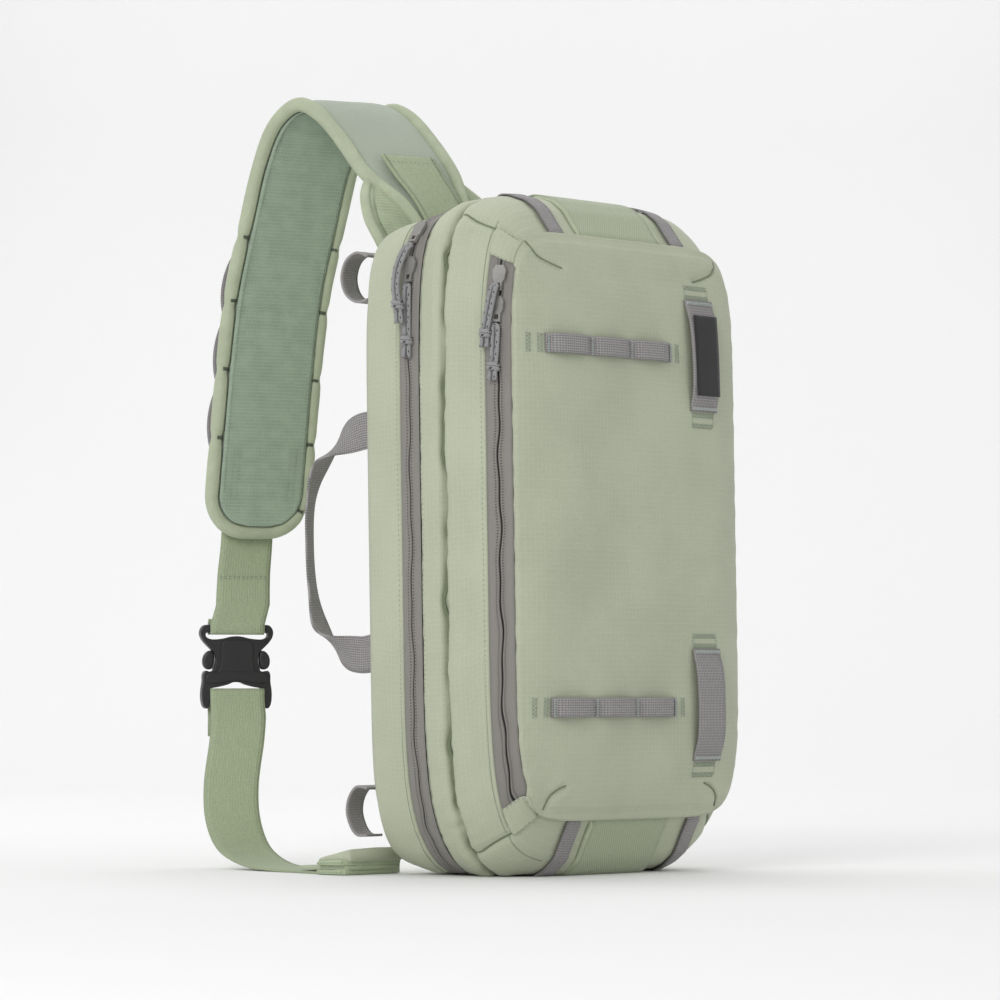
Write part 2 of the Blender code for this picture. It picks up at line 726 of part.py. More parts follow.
def build_shoulder_strap(cloth, lining, binding, green, grey):
    frames = frames_of(along_route([strap_place(row) for row in STRAP_ROUTE], 3))
    whole = distances(frames)[-1]
    ribbon("strap_base", stretch(frames, 0.0, YOKE_LENGTH - LAID_GAP, 12),
           lambda run: YOKE_WIDTH / 2 - YOKE_TAPER * (run / YOKE_LENGTH) ** 3, PAD_THICK, binding)

    half = PAD_WIDTH / 2 - 2 * BINDING_RADIUS - BINDING_GAP
    pad_end = whole - 2 * BINDING_RADIUS - BINDING_GAP
    length = pad_end - YOKE_LENGTH
    pad = stretch(frames, YOKE_LENGTH + 2 * LAID_GAP, pad_end - PAD_CORNER, 32)
    pad += [frame_at(frames, pad_end - PAD_CORNER * left) for left in (0.7, 0.4, 0.18, 0.04)]

    def shape(run):
        return rounded_end(run, length, half, PAD_CORNER)

    ribbon("strap_pad", pad, shape, PAD_THICK, cloth)
    lining_lift = -(PAD_THICK / 2 + 2 * LAID_GAP + LINING_THICK / 2)
    ribbon("strap_lining", pad, shape, LINING_THICK, lining, lining_lift, columns=1)

    edge = half + BINDING_RADIUS + BINDING_GAP
    radius = PAD_CORNER + BINDING_RADIUS + BINDING_GAP
    straight = stretch(frames, YOKE_LENGTH + 0.004, pad_end - PAD_CORNER, 32)
    start, across, _ = straight[-1]
    down = (frames[-1][0] - start).normalized()
    sides = {side: [centre + right * side * edge for centre, right, _ in straight] for side in (-1, 1)}
    corners = {side: [] for side in (-1, 1)}
    for side in (-1, 1):
        for angle in (18, 36, 54, 72, 90):
            reach = edge - radius + radius * math.cos(math.radians(angle))
            drop = radius * math.sin(math.radians(angle))
            corners[side].append(start + across * side * reach + down * drop)
    tube("strap_binding", sides[-1] + corners[-1] + corners[1][::-1] + sides[1][::-1],
         BINDING_RADIUS, binding)

    lift = PAD_THICK / 2 + STRAP_GAP + WEBBING_THICK / 2
    ribbon("strap_anchor", stretch(frames, ANCHOR_START, ANCHOR_END, 12), STRAP_WEBBING / 2,
           WEBBING_THICK, green, lift)
    steps = 6 * OUTER_CELLS
    rows = []
    for i, (centre, right, away) in enumerate(stretch(frames, OUTER_CHAIN_START, OUTER_CHAIN_END, steps)):
        rise = OUTER_CHAIN_RISE * abs(math.sin(math.pi * i / 6)) ** 0.7
        rows.append([centre + right * (OUTER_CHAIN_SHIFT + side * OUTER_CHAIN_WIDTH / 2)
                     + away * (lift + rise) for side in (-1, 1)])
    sheet("strap_daisy_chain", rows, WEBBING_THICK, grey, offset=0.0)


def buckle_place(right, up, away=0.0):
    """A place in the buckle's own axes, whose size is BUCKLE_WIDTH."""
    centre = Vector(strap_place(BUCKLE_PLACE)[:3])
    angle = math.radians(BUCKLE_PLACE[3])
    across = Vector((math.cos(angle), math.sin(angle), 0.0))
    front = Vector((math.sin(angle), -math.cos(angle), 0.0))
    return centre + across * right + Vector((0, 0, up)) + front * away


def plate(name, outline, holes, thickness, material, matrix, edge=0.0006):
    """A flat outline with holes, made solid."""
    curve = bpy.data.curves.new(name, "CURVE")
    curve.dimensions = "2D"
    curve.fill_mode = "BOTH"
    curve.extrude = thickness / 2 - edge
    curve.bevel_depth = edge
    curve.bevel_resolution = 0
    curve.offset = -edge
    for loop in [outline, *holes]:
        spline = curve.splines.new("POLY")
        spline.points.add(len(loop) - 1)
        for knot, (x, y) in zip(spline.points, loop):
            knot.co = (x, y, 0.0, 1.0)
        spline.use_cyclic_u = True
    piece = finish_object(name, curve, material)
    piece.matrix_world = matrix
    return piece


def mirrored(half):
    """A whole outline from its right half, listed from the top down."""
    return half + [(-x, y) for x, y in reversed(half)]


def build_buckle(plastic):
    angle = math.radians(BUCKLE_PLACE[3])
    matrix = Matrix((
        (math.cos(angle), 0.0, math.sin(angle), 0.0),
        (math.sin(angle), 0.0, -math.cos(angle), 0.0),
        (0.0, 1.0, 0.0, 0.0),
        (0.0, 0.0, 0.0, 1.0),
    ))
    matrix.translation = buckle_place(0.0, 0.0)
    size = BUCKLE_WIDTH

    def sized(points):
        return [(x * size, y * size) for x, y in points]

    plate("buckle_male", sized(mirrored(MALE_HALF)),
          [sized(mirrored(UPPER_SLOT_HALF)), sized(ARM_GAP), sized([(-x, y) for x, y in ARM_GAP])],
          BUCKLE_THICK, plastic, matrix)
    plate("buckle_female", sized(mirrored(FEMALE_HALF)), [sized(mirrored(LOWER_SLOT_HALF))],
          BUCKLE_THICK, plastic, matrix)


def wrap_round(bar_low, bar_high, from_below):
    """Places of webbing that goes over a bar's front, through the slot and back behind it."""
    stand = BUCKLE_THICK / 2 + LAID_GAP + WEBBING_THICK / 2
    near = LAID_GAP + WEBBING_THICK / 2
    turned = BUCKLE_PLACE[3]
    edge, past, sign = (bar_high, bar_low, 1) if from_below else (bar_low, bar_high, -1)
    steps = [(past, stand), (edge + sign * LAID_GAP / 2, stand), (edge + sign * near, stand - near),
             (edge + sign * near, near - stand), (edge + sign * LAID_GAP / 2, -stand), (past, -stand)]
    return [[*buckle_place(0.0, up, away), turned] for up, away in steps]


def build_lower_webbing(green):
    size = BUCKLE_WIDTH
    turned = BUCKLE_PLACE[3]
    top = [strap_place(row) for row in UPPER_WEBBING]
    bar_low, bar_high = UPPER_SLOT_HALF[0][1] * size, MALE_HALF[0][1] * size
    close = WEBBING_THICK / 2 + LAID_GAP / 2
    places = along_route(top, 2)
    places += wrap_round(bar_low, bar_high, False)
    places.append([*buckle_place(0.0, bar_high + 0.009, -close - WEBBING_THICK), turned])
    places.append([*buckle_place(0.0, bar_high + 0.017, -close - WEBBING_THICK), turned])
    ribbon("upper_strap_webbing", frames_of(places), STRAP_WEBBING / 2, WEBBING_THICK, green)

    low = [strap_place(row) for row in LOWER_WEBBING]
    bar_low, bar_high = FEMALE_HALF[-1][1] * size, LOWER_SLOT_HALF[-1][1] * size
    places = along_route(low, 3)
    places += wrap_round(bar_low, bar_high, True)
    places.append([*buckle_place(0.0, bar_low - 0.012, -close * 3), turned])
    places.append([*buckle_place(0.0, bar_low - 0.026, -close * 3), turned])
    ribbon("lower_strap_webbing", frames_of(places), STRAP_WEBBING / 2, WEBBING_THICK, green)


def side_ribbon(name, rows, widths, material):
    """A webbing loop at the back edge. Each row is a distance behind and a height."""
    places = along_route([(LOOP_SIDE, BACK_EDGE_Y + behind, height, 0.0) for behind, height in rows], 2)
    frames = frames_of(places)
    length = distances(frames)[-1]

    def half(run):
        middle = math.sin(math.pi * run / length) ** 2
        return (widths[0] + (widths[1] - widths[0]) * middle) / 2

    return ribbon(name, frames, half, WEBBING_THICK, material)


def build_rear_loops(webbing):
    side_ribbon("top_rear_loop", TOP_LOOP_ROUTE, (REAR_LOOP_WIDTH, REAR_LOOP_WIDTH), webbing)
    side_ribbon("bottom_rear_loop", BOTTOM_LOOP_ROUTE, (REAR_LOOP_WIDTH, REAR_LOOP_WIDTH), webbing)
    side_ribbon("carry_handle", HANDLE_ROUTE, (HANDLE_WIDTH, HANDLE_GRIP), webbing)


def block(name, low, high, material, bevel=0.001, taper=1.0):
    """A soft-edged box between two corners, narrower in height towards +Y by the taper."""
    mesh = bpy.data.meshes.new(name)
    work = bmesh.new()
    bmesh.ops.create_cube(work, size=1.0)
    for vert in work.verts:
        share = [part + 0.5 for part in vert.co]
        rise = (high[2] - low[2]) * (taper if share[1] > 0.5 else 1.0)
        vert.co = (low[0] + (high[0] - low[0]) * share[0],
                   low[1] + (high[1] - low[1]) * share[1], low[2] + rise * share[2])
    work.to_mesh(mesh)
    work.free()
    piece = finish_object(name, mesh, material)
    edge = piece.modifiers.new("Edges", "BEVEL")
    edge.width = bevel
    edge.segments = 2
    return smooth(piece)


def build_corner_wing(cloth, binding):
    """The folded cloth tab at the base corner that the lower webbing is sewn into."""
    back = BACK_EDGE_Y + WING_START
    end = BACK_EDGE_Y + WING_END
    block("corner_wing", (WING_LEFT, back, 0.0), (WING_RIGHT, end, WING_HEIGHT), cloth, 0.0012, 0.55)
    sleeve_low = (WING_LEFT + 0.004, end + LAID_GAP, WEBBING_THICK + 2 * LAID_GAP)
    sleeve_high = (WING_LEFT + 0.004 + STRAP_WEBBING + 0.004, end + SLEEVE_LENGTH,
                   WEBBING_THICK + 2 * LAID_GAP + 0.0026)
    block("webbing_sleeve", sleeve_low, sleeve_high, binding, 0.0008)


def build_sliders(metal):
    for name, under, depth in SLIDERS:
        turn = turn_at_height(BAG_HEIGHT - under, depth)
        here = skin(turn, depth, LAID_GAP + SLIDER_THICK / 2)
        up = (skin(turn + 0.004, depth) - skin(turn - 0.004, depth)).normalized()
        side = (skin(turn, depth + 0.02) - skin(turn, depth - 0.02)).normalized()
        off = side.cross(up).normalized()
        side = up.cross(off)
        matrix = Matrix((side, up, off)).transposed().to_4x4()
        matrix.translation = here
        plate(name, mirrored(SLIDER_HALF), [mirrored(SLIDER_EYE)], SLIDER_THICK, metal, matrix,
              SLIDER_EDGE)


def build_pulls(cord):
    for name, route in PULL_ROUTES.items():
        tube(name, [(x, y, BAG_HEIGHT - under) for x, y, under in route], PULL_RADIUS, cord, 1)


def main():
    global collection
    clear_scene()
    collection = bpy.data.collections.new("fishing_sling_bag")
    bpy.context.scene.collection.children.link(collection)
    cloth = make_material("sage_ripstop", (0.45, 0.51, 0.37), 0.75)
    tape = make_material("zipper_tape", (0.27, 0.26, 0.24), 0.65)
    knit = make_material("knit_band", (0.40, 0.47, 0.31), 0.85)
    webbing = make_material("grey_webbing", (0.36, 0.34, 0.34), 0.75)
    green = make_material("green_webbing", (0.35, 0.45, 0.24), 0.75)
    lining = make_material("strap_lining", (0.30, 0.40, 0.30), 0.70)
    binding = make_material("green_binding", (0.33, 0.42, 0.26), 0.70)
    plain = make_material("black_label", (0.02, 0.02, 0.022), 0.70)
    plastic = make_material("black_plastic", (0.015, 0.015, 0.016), 0.35)
    metal = make_material("slider_metal", (0.33, 0.33, 0.33), 0.45, 0.8)
    cord = make_material("pull_cord", (0.33, 0.33, 0.33), 0.80)

    build_gussets(cloth, tape)
    build_front_panel(cloth)
    build_back_panel(cloth)
    build_bands(knit, webbing)
    build_daisy_chains(webbing)
    build_vertical_loops(webbing, plain)
    build_side_pocket(cloth)
    build_shoulder_strap(cloth, lining, binding, green, webbing)
    build_lower_webbing(green)
    build_buckle(plastic)
    build_rear_loops(webbing)
    build_corner_wing(cloth, binding)
    build_sliders(metal)
    build_pulls(cord)


main()
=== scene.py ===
"""Looks of the fishing tackle sling bag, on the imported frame."""

import math

import bpy
import numpy as np
from mathutils import Matrix, Vector
from mathutils.bvhtree import BVHTree


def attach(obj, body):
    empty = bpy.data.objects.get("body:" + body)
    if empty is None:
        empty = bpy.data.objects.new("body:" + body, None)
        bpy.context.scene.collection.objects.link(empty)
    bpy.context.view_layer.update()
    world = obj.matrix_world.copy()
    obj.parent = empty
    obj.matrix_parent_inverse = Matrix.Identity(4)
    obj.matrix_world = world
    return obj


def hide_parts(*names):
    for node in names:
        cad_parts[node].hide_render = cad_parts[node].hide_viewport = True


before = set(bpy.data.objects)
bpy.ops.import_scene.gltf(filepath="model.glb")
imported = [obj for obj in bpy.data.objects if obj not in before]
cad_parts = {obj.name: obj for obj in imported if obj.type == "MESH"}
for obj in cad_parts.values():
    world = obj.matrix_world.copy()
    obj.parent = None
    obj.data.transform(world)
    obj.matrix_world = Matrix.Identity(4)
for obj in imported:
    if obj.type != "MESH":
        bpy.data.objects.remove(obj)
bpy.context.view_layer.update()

# Body, the same sizes as the solids
BAG_WIDTH = 0.241
BAG_HEIGHT = 0.4475
GUSSET_DEPTH = 0.1284
FRONT_CROWN = 0.0090
BACK_EDGE_Y = 0.058
BODY_LEAN = 0.010
CLOTH_WALL = 0.0020
LAID_GAP = 0.0005
BAND_THICK = 0.0016
BASE_LIFT = LAID_GAP + BAND_THICK
ROUND_WAY = 2 * (BAG_WIDTH + BAG_HEIGHT)

BODY_SECTIONS = np.array([
    # depth, width, top, bottom, top power, bottom power
    (0.000, 0.905, 0.936, 0.036, 9.0, 8.0),
    (0.055, 0.985, 0.958, 0.010, 9.0, 7.0),
    (0.218, 1.000, 0.970, -0.006, 8.5, 5.5),
    (0.303, 1.000, 0.978, -0.009, 8.0, 5.0),
    (0.452, 1.000, 0.988, -0.009, 7.0, 5.0),
    (0.562, 0.998, 0.995, -0.009, 6.5, 5.0),
    (0.588, 0.972, 0.985, -0.004, 6.5, 5.0),
    (0.614, 0.994, 0.998, -0.006, 6.3, 5.0),
    (0.690, 0.992, 1.000, -0.002, 6.0, 5.0),
    (0.790, 0.982, 0.992, 0.010, 6.0, 5.0),
    (0.860, 0.967, 0.978, 0.026, 6.5, 5.5),
    (0.930, 0.945, 0.950, 0.066, 7.5, 6.5),
    (1.000, 0.915, 0.926, 0.101, 9.0, 8.0),
])
CROWN_POWER = 6.0

ZIP_TAPE = 0.0165
MAIN_ZIP_DEPTH = 0.358
MAIN_ZIP_START = 0.035
MAIN_ZIP_END = 0.455
FRONT_ZIP_BACK = 0.860
FRONT_ZIP_DEPTH = 0.929
FRONT_ZIP_WIDTH = 0.0175
FRONT_ZIP_LOW = 0.046
FRONT_ZIP_HIGH = 0.404
SEAM_DEPTH = 0.588

TRIM_WIDTH = 0.013
LAID_PIECES = [
    # name, middle as a share of BAG_WIDTH, width, back edge as a depth
    ("top_band", 0.008, 0.081, 0.10),
    ("top_webbing_left", -0.253, TRIM_WIDTH, 0.10),
    ("top_webbing_right", 0.251, TRIM_WIDTH, 0.10),
    ("bottom_band", 0.012, 0.076, 0.13),
    ("bottom_webbing_left", -0.220, TRIM_WIDTH, 0.13),
    ("bottom_webbing_right", 0.282, TRIM_WIDTH, 0.13),
]
LOOP_SIDE_OFFSET = 0.066
LOOP_WIDTH = 0.028
LOOP_RISE = 0.0035
CHAIN_WIDTH = 0.0125
CHAIN_RISE = 0.0040
CHAIN_STEP = 0.0405
CHAIN_LEFT = -0.088
CHAIN_HEIGHTS = {"upper_daisy_chain": 0.347, "lower_daisy_chain": 0.111}
LOOP_SPANS = {"upper_vertical_loop": (0.309, 0.384), "lower_vertical_loop": (0.075, 0.150)}
LABEL_WIDTH = 0.024
LABEL_HEIGHT = 0.054
WEBBING_THICK = 0.0016
SIDE_POCKET_BULGE = 0.0095
SIDE_POCKET_GAP = 0.0020

PAD_WIDTH = 0.080
PAD_THICK = 0.0085
BINDING_RADIUS = 0.0050
BINDING_GAP = 0.0020
STRAP_GAP = 0.0007
STRAP_WEBBING = 0.038
YOKE_WIDTH = 0.124
YOKE_LENGTH = 0.110
YOKE_TAPER = 0.010
STRAP_REACH = 0.165
STRAP_TOP = 0.526
PAD_CORNER = 0.020
ANCHOR_START = 0.045
ANCHOR_END = 0.118
TACK_STEP = 0.0468
OUTER_CHAIN_START = 0.2100
OUTER_CELL_RISES = (0.004, 0.004, 0.0135, 0.0135, 0.0135)
OUTER_CHAIN_SHIFT = -0.0225
OUTER_CHAIN_WIDTH = 0.025
BUCKLE_WIDTH = 0.049
BUCKLE_THICK = 0.0085

STRAP_ROUTE = [
    # across, behind, height, turned
    (-0.090, 0.0840, 0.707, 0.0),
    (-0.100, 0.0840, 0.779, 0.0),
    (-0.124, 0.139, 0.840, -8.0),
    (-0.147, 0.209, 0.882, -16.0),
    (-0.160, 0.261, 0.911, -20.0),
    (-0.170, 0.358, 0.951, -21.0),
    (-0.183, 0.473, 0.987, -21.0),
    (-0.193, 0.582, 1.000, -21.0),
    (-0.207, 0.694, 0.975, -21.0),
    (-0.222, 0.764, 0.922, -21.0),
    (-0.232, 0.818, 0.856, -21.0),
    (-0.251, 0.882, 0.760, -21.0),
    (-0.263, 0.915, 0.665, -21.0),
    (-0.278, 0.936, 0.551, -21.0),
    (-0.290, 0.948, 0.471, -21.0),
    (-0.297, 0.955, 0.432, -21.0),
]
UPPER_WEBBING = [
    (-0.293, 0.9955, 0.500, -21.0),
    (-0.300, 0.9955, 0.430, -22.0),
    (-0.318, 0.985, 0.385, -26.0),
    (-0.334, 0.966, 0.345, -31.0),
]
BUCKLE_PLACE = (-0.344, 0.992, 0.271, -33.0)
LOWER_WEBBING = [
    (-0.456, 0.2240, 0.0017, 0.0),
    (-0.448, 0.315, 0.0017, -2.0),
    (-0.436, 0.519, 0.0024, -6.0),
    (-0.423, 0.690, 0.0075, -14.0),
    (-0.412, 0.835, 0.026, -28.0),
    (-0.404, 0.915, 0.062, -40.0),
    (-0.392, 0.945, 0.108, -44.0),
    (-0.372, 0.943, 0.165, -42.0),
    (-0.358, 0.953, 0.196, -37.0),
]
LOOP_SIDE = -0.104
REAR_LOOPS = {
    # name: (width at the ends, width at the middle, places as (behind the back edge, height))
    "top_rear_loop": (0.015, 0.015, [
        (0.0085, 0.4120), (0.019, 0.4150), (0.029, 0.4100), (0.0330, 0.3990), (0.029, 0.3880),
        (0.019, 0.3820), (0.0085, 0.3830),
    ]),
    "bottom_rear_loop": (0.015, 0.015, [
        (0.0082, 0.0570), (0.018, 0.0580), (0.025, 0.0510), (0.027, 0.0410), (0.023, 0.0310),
        (0.017, 0.0260), (0.0082, 0.0260),
    ]),
    "carry_handle": (0.025, 0.012, [
        (0.0099, 0.2960), (0.022, 0.2950), (0.042, 0.2880), (0.060, 0.2730), (0.0690, 0.2500),
        (0.0700, 0.2200), (0.0670, 0.1900), (0.0590, 0.1650), (0.042, 0.1500), (0.022, 0.1460),
        (0.0099, 0.1470),
    ]),
}
HANDLE_TURN = 24.0
PULL_DIAMETER = 0.003
PULL_ROUTES = {
    "main_pull_upper": [
        (-0.1345, 0.0169, 0.3625), (-0.1350, 0.0173, 0.3745), (-0.1345, 0.0199, 0.3870),
        (-0.1318, 0.0203, 0.4000), (-0.1290, 0.0168, 0.4112), (-0.1269, 0.0145, 0.4139),
        (-0.1263, 0.0126, 0.4150), (-0.1269, 0.0112, 0.4139), (-0.1290, 0.0128, 0.4112),
        (-0.1318, 0.0163, 0.4000), (-0.1345, 0.0161, 0.3870), (-0.1350, 0.0137, 0.3745),
        (-0.1345, 0.0121, 0.3625),
    ],
    "main_pull_lower": [
        (-0.1302, 0.0144, 0.3400), (-0.1298, 0.0137, 0.3515), (-0.1300, 0.0138, 0.3620),
        (-0.1302, 0.0139, 0.3740), (-0.1300, 0.0139, 0.3845), (-0.1296, 0.0134, 0.3870),
        (-0.1295, 0.0119, 0.3881), (-0.1296, 0.0104, 0.3870), (-0.1300, 0.0099, 0.3845),
        (-0.1302, 0.0099, 0.3740), (-0.1300, 0.0100, 0.3620), (-0.1298, 0.0101, 0.3515),
        (-0.1302, 0.0096, 0.3400),
    ],
    "front_pull_upper": [
        (-0.1284, -0.0534, 0.3435), (-0.1275, -0.0542, 0.3525), (-0.1280, -0.0561, 0.3610),
        (-0.1278, -0.0580, 0.3700), (-0.1268, -0.0602, 0.3805), (-0.1255, -0.0611, 0.3828),
        (-0.1256, -0.0627, 0.3838), (-0.1255, -0.0642, 0.3828), (-0.1268, -0.0642, 0.3805),
        (-0.1278, -0.0620, 0.3700), (-0.1280, -0.0599, 0.3610), (-0.1275, -0.0578, 0.3525),
        (-0.1284, -0.0582, 0.3435),
    ],
    "front_pull_lower": [
        (-0.1258, -0.0578, 0.3220), (-0.1250, -0.0590, 0.3310), (-0.1252, -0.0599, 0.3385),
        (-0.1250, -0.0602, 0.3460), (-0.1245, -0.0602, 0.3545), (-0.1243, -0.0607, 0.3567),
        (-0.1242, -0.0622, 0.3577), (-0.1243, -0.0637, 0.3567), (-0.1245, -0.0642, 0.3545),
        (-0.1250, -0.0642, 0.3460), (-0.1252, -0.0637, 0.3385), (-0.1250, -0.0626, 0.3310),
        (-0.1258, -0.0626, 0.3220),
    ],
}


# Shader writing


class Wire:
    """A node's output that takes part in sums."""

    def __init__(self, finish, socket):
        self.finish = finish
        self.socket = socket

    def sum(self, operation, first, second):
        return self.finish.node("ShaderNodeMath", {"operation": operation}, {0: first, 1: second})

    def __add__(self, other):
        return self.sum("ADD", self, other)

    def __sub__(self, other):
        return self.sum("SUBTRACT", self, other)

    def __mul__(self, other):
        return self.sum("MULTIPLY", self, other)


class Finish:
    """A material being written, with its Principled shader."""

    def __init__(self, name, roughness=0.7, metallic=0.0, sheen=0.0, coat=0.0):
        self.material = bpy.data.materials.new(name)
        self.material.use_nodes = True
        self.tree = self.material.node_tree
        self.shader = self.tree.nodes["Principled BSDF"]
        self.shader.inputs["Roughness"].default_value = roughness
        self.shader.inputs["Metallic"].default_value = metallic
        self.shader.inputs["Sheen Weight"].default_value = sheen
        self.shader.inputs["Sheen Roughness"].default_value = 0.5
        self.shader.inputs["Coat Weight"].default_value = coat

    def node(self, kind, settings=None, values=None, output=0):
        made = self.tree.nodes.new(kind)
        for key, value in (settings or {}).items():
            setattr(made, key, value)
        for key, value in (values or {}).items():
            if isinstance(value, Wire):
                self.tree.links.new(value.socket, made.inputs[key])
            else:
                made.inputs[key].default_value = value
        return Wire(self, made.outputs[output])

    def along_and_across(self):
        split = self.tree.nodes.new("ShaderNodeSeparateXYZ")
        self.tree.links.new(self.node("ShaderNodeUVMap").socket, split.inputs[0])
        return Wire(self, split.outputs[0]), Wire(self, split.outputs[1])

    def noise(self, size, detail=3.0):
        place = self.node("ShaderNodeTexCoord", output=3)
        return self.node("ShaderNodeTexNoise", None, {"Vector": place, "Scale": 1 / size, "Detail": detail})

    def range(self, value, low, high, to_low=0.0, to_high=1.0):
        return self.node(
            "ShaderNodeMapRange", {"interpolation_type": "SMOOTHSTEP"},
            {"Value": value, "From Min": low, "From Max": high, "To Min": to_low, "To Max": to_high},
        )

    def lines(self, place, pitch, half_width):
        """1 on thin lines that repeat at this pitch, 0 between."""
        away = self.node("ShaderNodeMath", {"operation": "PINGPONG"}, {0: place, 1: pitch / 2})
        return self.range(away, half_width * 0.5, half_width * 1.5, 1.0, 0.0)

    def waves(self, place, pitch):
        """A smooth rise and fall from 0 to 1 at this pitch."""
        sine = self.node("ShaderNodeMath", {"operation": "SINE"}, {0: place * (2 * math.pi / pitch)})
        return sine * 0.5 + 0.5

    def blend(self, factor, first, second):
        return self.node(
            "ShaderNodeMix", {"data_type": "RGBA"},
            {0: factor, 6: (*first, 1.0) if isinstance(first, tuple) else first,
             7: (*second, 1.0) if isinstance(second, tuple) else second},
            output=2,
        )

    def set(self, colour, roughness=None, height=None, distance=0.0003, strength=1.0):
        self.tree.links.new(colour.socket, self.shader.inputs["Base Color"])
        if roughness is not None:
            self.tree.links.new(roughness.socket, self.shader.inputs["Roughness"])
        if height is not None:
            bump = self.node("ShaderNodeBump", None, {
                "Height": height, "Distance": distance, "Strength": strength})
            self.tree.links.new(bump.socket, self.shader.inputs["Normal"])
        return self.material


def shaded(colour, share):
    return tuple(part * share for part in colour)


def ripstop(name, colour, pitch=0.0034, line=1.10):
    """Light cloth with a fine square grid of thicker threads."""
    finish = Finish(name, roughness=0.66, sheen=0.12)
    along, across = finish.along_and_across()
    grid = finish.node("ShaderNodeMath", {"operation": "MAXIMUM"}, {
        0: finish.lines(along, pitch, 0.00022), 1: finish.lines(across, pitch, 0.00022)})
    weave = finish.waves(along, 0.00062) * finish.waves(across, 0.00062)
    cloudy = finish.range(finish.noise(0.045), 0.35, 0.65)
    slub = finish.noise(0.0011, 2.0)
    base = finish.blend(cloudy, shaded(colour, 0.955), shaded(colour, 1.03))
    base = finish.blend(finish.range(slub, 0.35, 0.7) * 0.30, base, shaded(colour, 0.84))
    base = finish.blend(grid * 0.55, base, shaded(colour, line))
    return finish.set(base, finish.range(slub, 0.3, 0.7, 0.60, 0.74), weave * 0.6 + grid * 0.7 + slub * 0.3,
                      0.00012, 0.7)


def webbing(name, colour, ribs=0.0016, picks=0.0018, dark=0.9):
    """Flat webbing: rows of raised picks with dark pits between them."""
    finish = Finish(name, roughness=0.8, sheen=0.15)
    along, across = finish.along_and_across()
    pits = finish.lines(across, ribs, ribs * 0.24) * finish.lines(along, picks, picks * 0.32) * dark
    rib = finish.waves(across, ribs)
    pick = finish.waves(along, picks / 2)
    fuzz = finish.noise(0.0012, 2.0)
    base = finish.blend(finish.range(fuzz, 0.3, 0.7), shaded(colour, 0.88), shaded(colour, 1.08))
    base = finish.blend(rib * 0.35, base, shaded(colour, 0.80))
    base = finish.blend(pits, base, shaded(colour, 0.34))
    return finish.set(base, None, rib * 0.7 + pick * 0.3 - pits, 0.00030, 0.8)


def twill(name, colour):
    """Knit with fine slanting ribs."""
    finish = Finish(name, roughness=0.85, sheen=0.2)
    along, across = finish.along_and_across()
    slanting = finish.waves(along * 0.7 + across, 0.0019)
    fine = finish.waves(along - across, 0.0011)
    fuzz = finish.noise(0.0020, 2.0)
    base = finish.blend(slanting, shaded(colour, 0.80), shaded(colour, 1.08))
    base = finish.blend(finish.range(fuzz, 0.3, 0.75) * 0.35, base, shaded(colour, 0.82))
    return finish.set(base, None, slanting * 0.7 + fine * 0.3, 0.00030, 0.8)


def grid_cloth(name, colour):
    """Lining with a raised grid of small squares."""
    finish = Finish(name, roughness=0.75, sheen=0.1)
    along, across = finish.along_and_across()
    rows = finish.lines(along, 0.0024, 0.00042)
    files = finish.lines(across, 0.0024, 0.00030)
    grid = finish.node("ShaderNodeMath", {"operation": "MAXIMUM"}, {0: rows, 1: files * 0.7})
    patches = finish.range(finish.noise(0.010, 2.0), 0.3, 0.7)
    base = finish.blend(patches, shaded(colour, 0.90), shaded(colour, 1.08))
    base = finish.blend(grid * 0.6, base, shaded(colour, 1.28))
    return finish.set(base, None, grid, 0.00030, 0.8)


def tape(name, colour):
    """Zipper tape: fine cross ribs and two dotted rows beside the dark middle, which is painted shade where
    the two coils meet.
    """
    finish = Finish(name, roughness=0.7, sheen=0.1)
    along, across = finish.along_and_across()
    away = finish.node("ShaderNodeMath", {"operation": "ABSOLUTE"}, {0: across})
    rib = finish.waves(along, 0.0011)
    twill_rib = finish.waves(across + along * 0.5, 0.0009)
    beside = finish.range(away, 0.0015, 0.0018) * finish.range(away, 0.0027, 0.0030, 1.0, 0.0)
    dots = beside * finish.lines(along, 0.0021, 0.00055)
    middle = finish.range(away, 0.00045, 0.00075, 1.0, 0.0)
    base = finish.blend(rib * 0.5, shaded(colour, 0.90), shaded(colour, 1.06))
    base = finish.blend(dots * 0.9, base, shaded(colour, 0.28))
    # Painted shade: near-black along the middle groove where the coils meet.
    base = finish.blend(middle, base, shaded(colour, 0.06))
    return finish.set(base, None, rib * 0.5 + twill_rib * 0.4 - dots, 0.00025, 0.7)


def plain_cloth(name, colour, grain=0.0011):
    """Binding, thread and label cloth, with a fine even grain."""
    finish = Finish(name, roughness=0.78, sheen=0.12)
    fine = finish.noise(grain, 2.0)
    broad = finish.range(finish.noise(0.012), 0.3, 0.7)
    base = finish.blend(broad, shaded(colour, 0.92), shaded(colour, 1.05))
    base = finish.blend(finish.range(fine, 0.3, 0.7) * 0.4, base, shaded(colour, 0.80))
    return finish.set(base, None, fine, 0.00020, 0.7)


def flecked_cord(name, colour):
    """Braided cord with small dark flecks."""
    finish = Finish(name, roughness=0.75, sheen=0.1)
    along, across = finish.along_and_across()
    braid = finish.waves(along + across * 0.6, 0.0016) * finish.waves(along - across * 0.6, 0.0016)
    flecks = finish.lines(along + across * 0.35, 0.0075, 0.00075) * finish.lines(across, 0.0047, 0.0007)
    base = finish.blend(braid, shaded(colour, 0.72), shaded(colour, 1.12))
    base = finish.blend(flecks, base, (0.012, 0.012, 0.013))
    return finish.set(base, None, braid, 0.0003, 0.9)


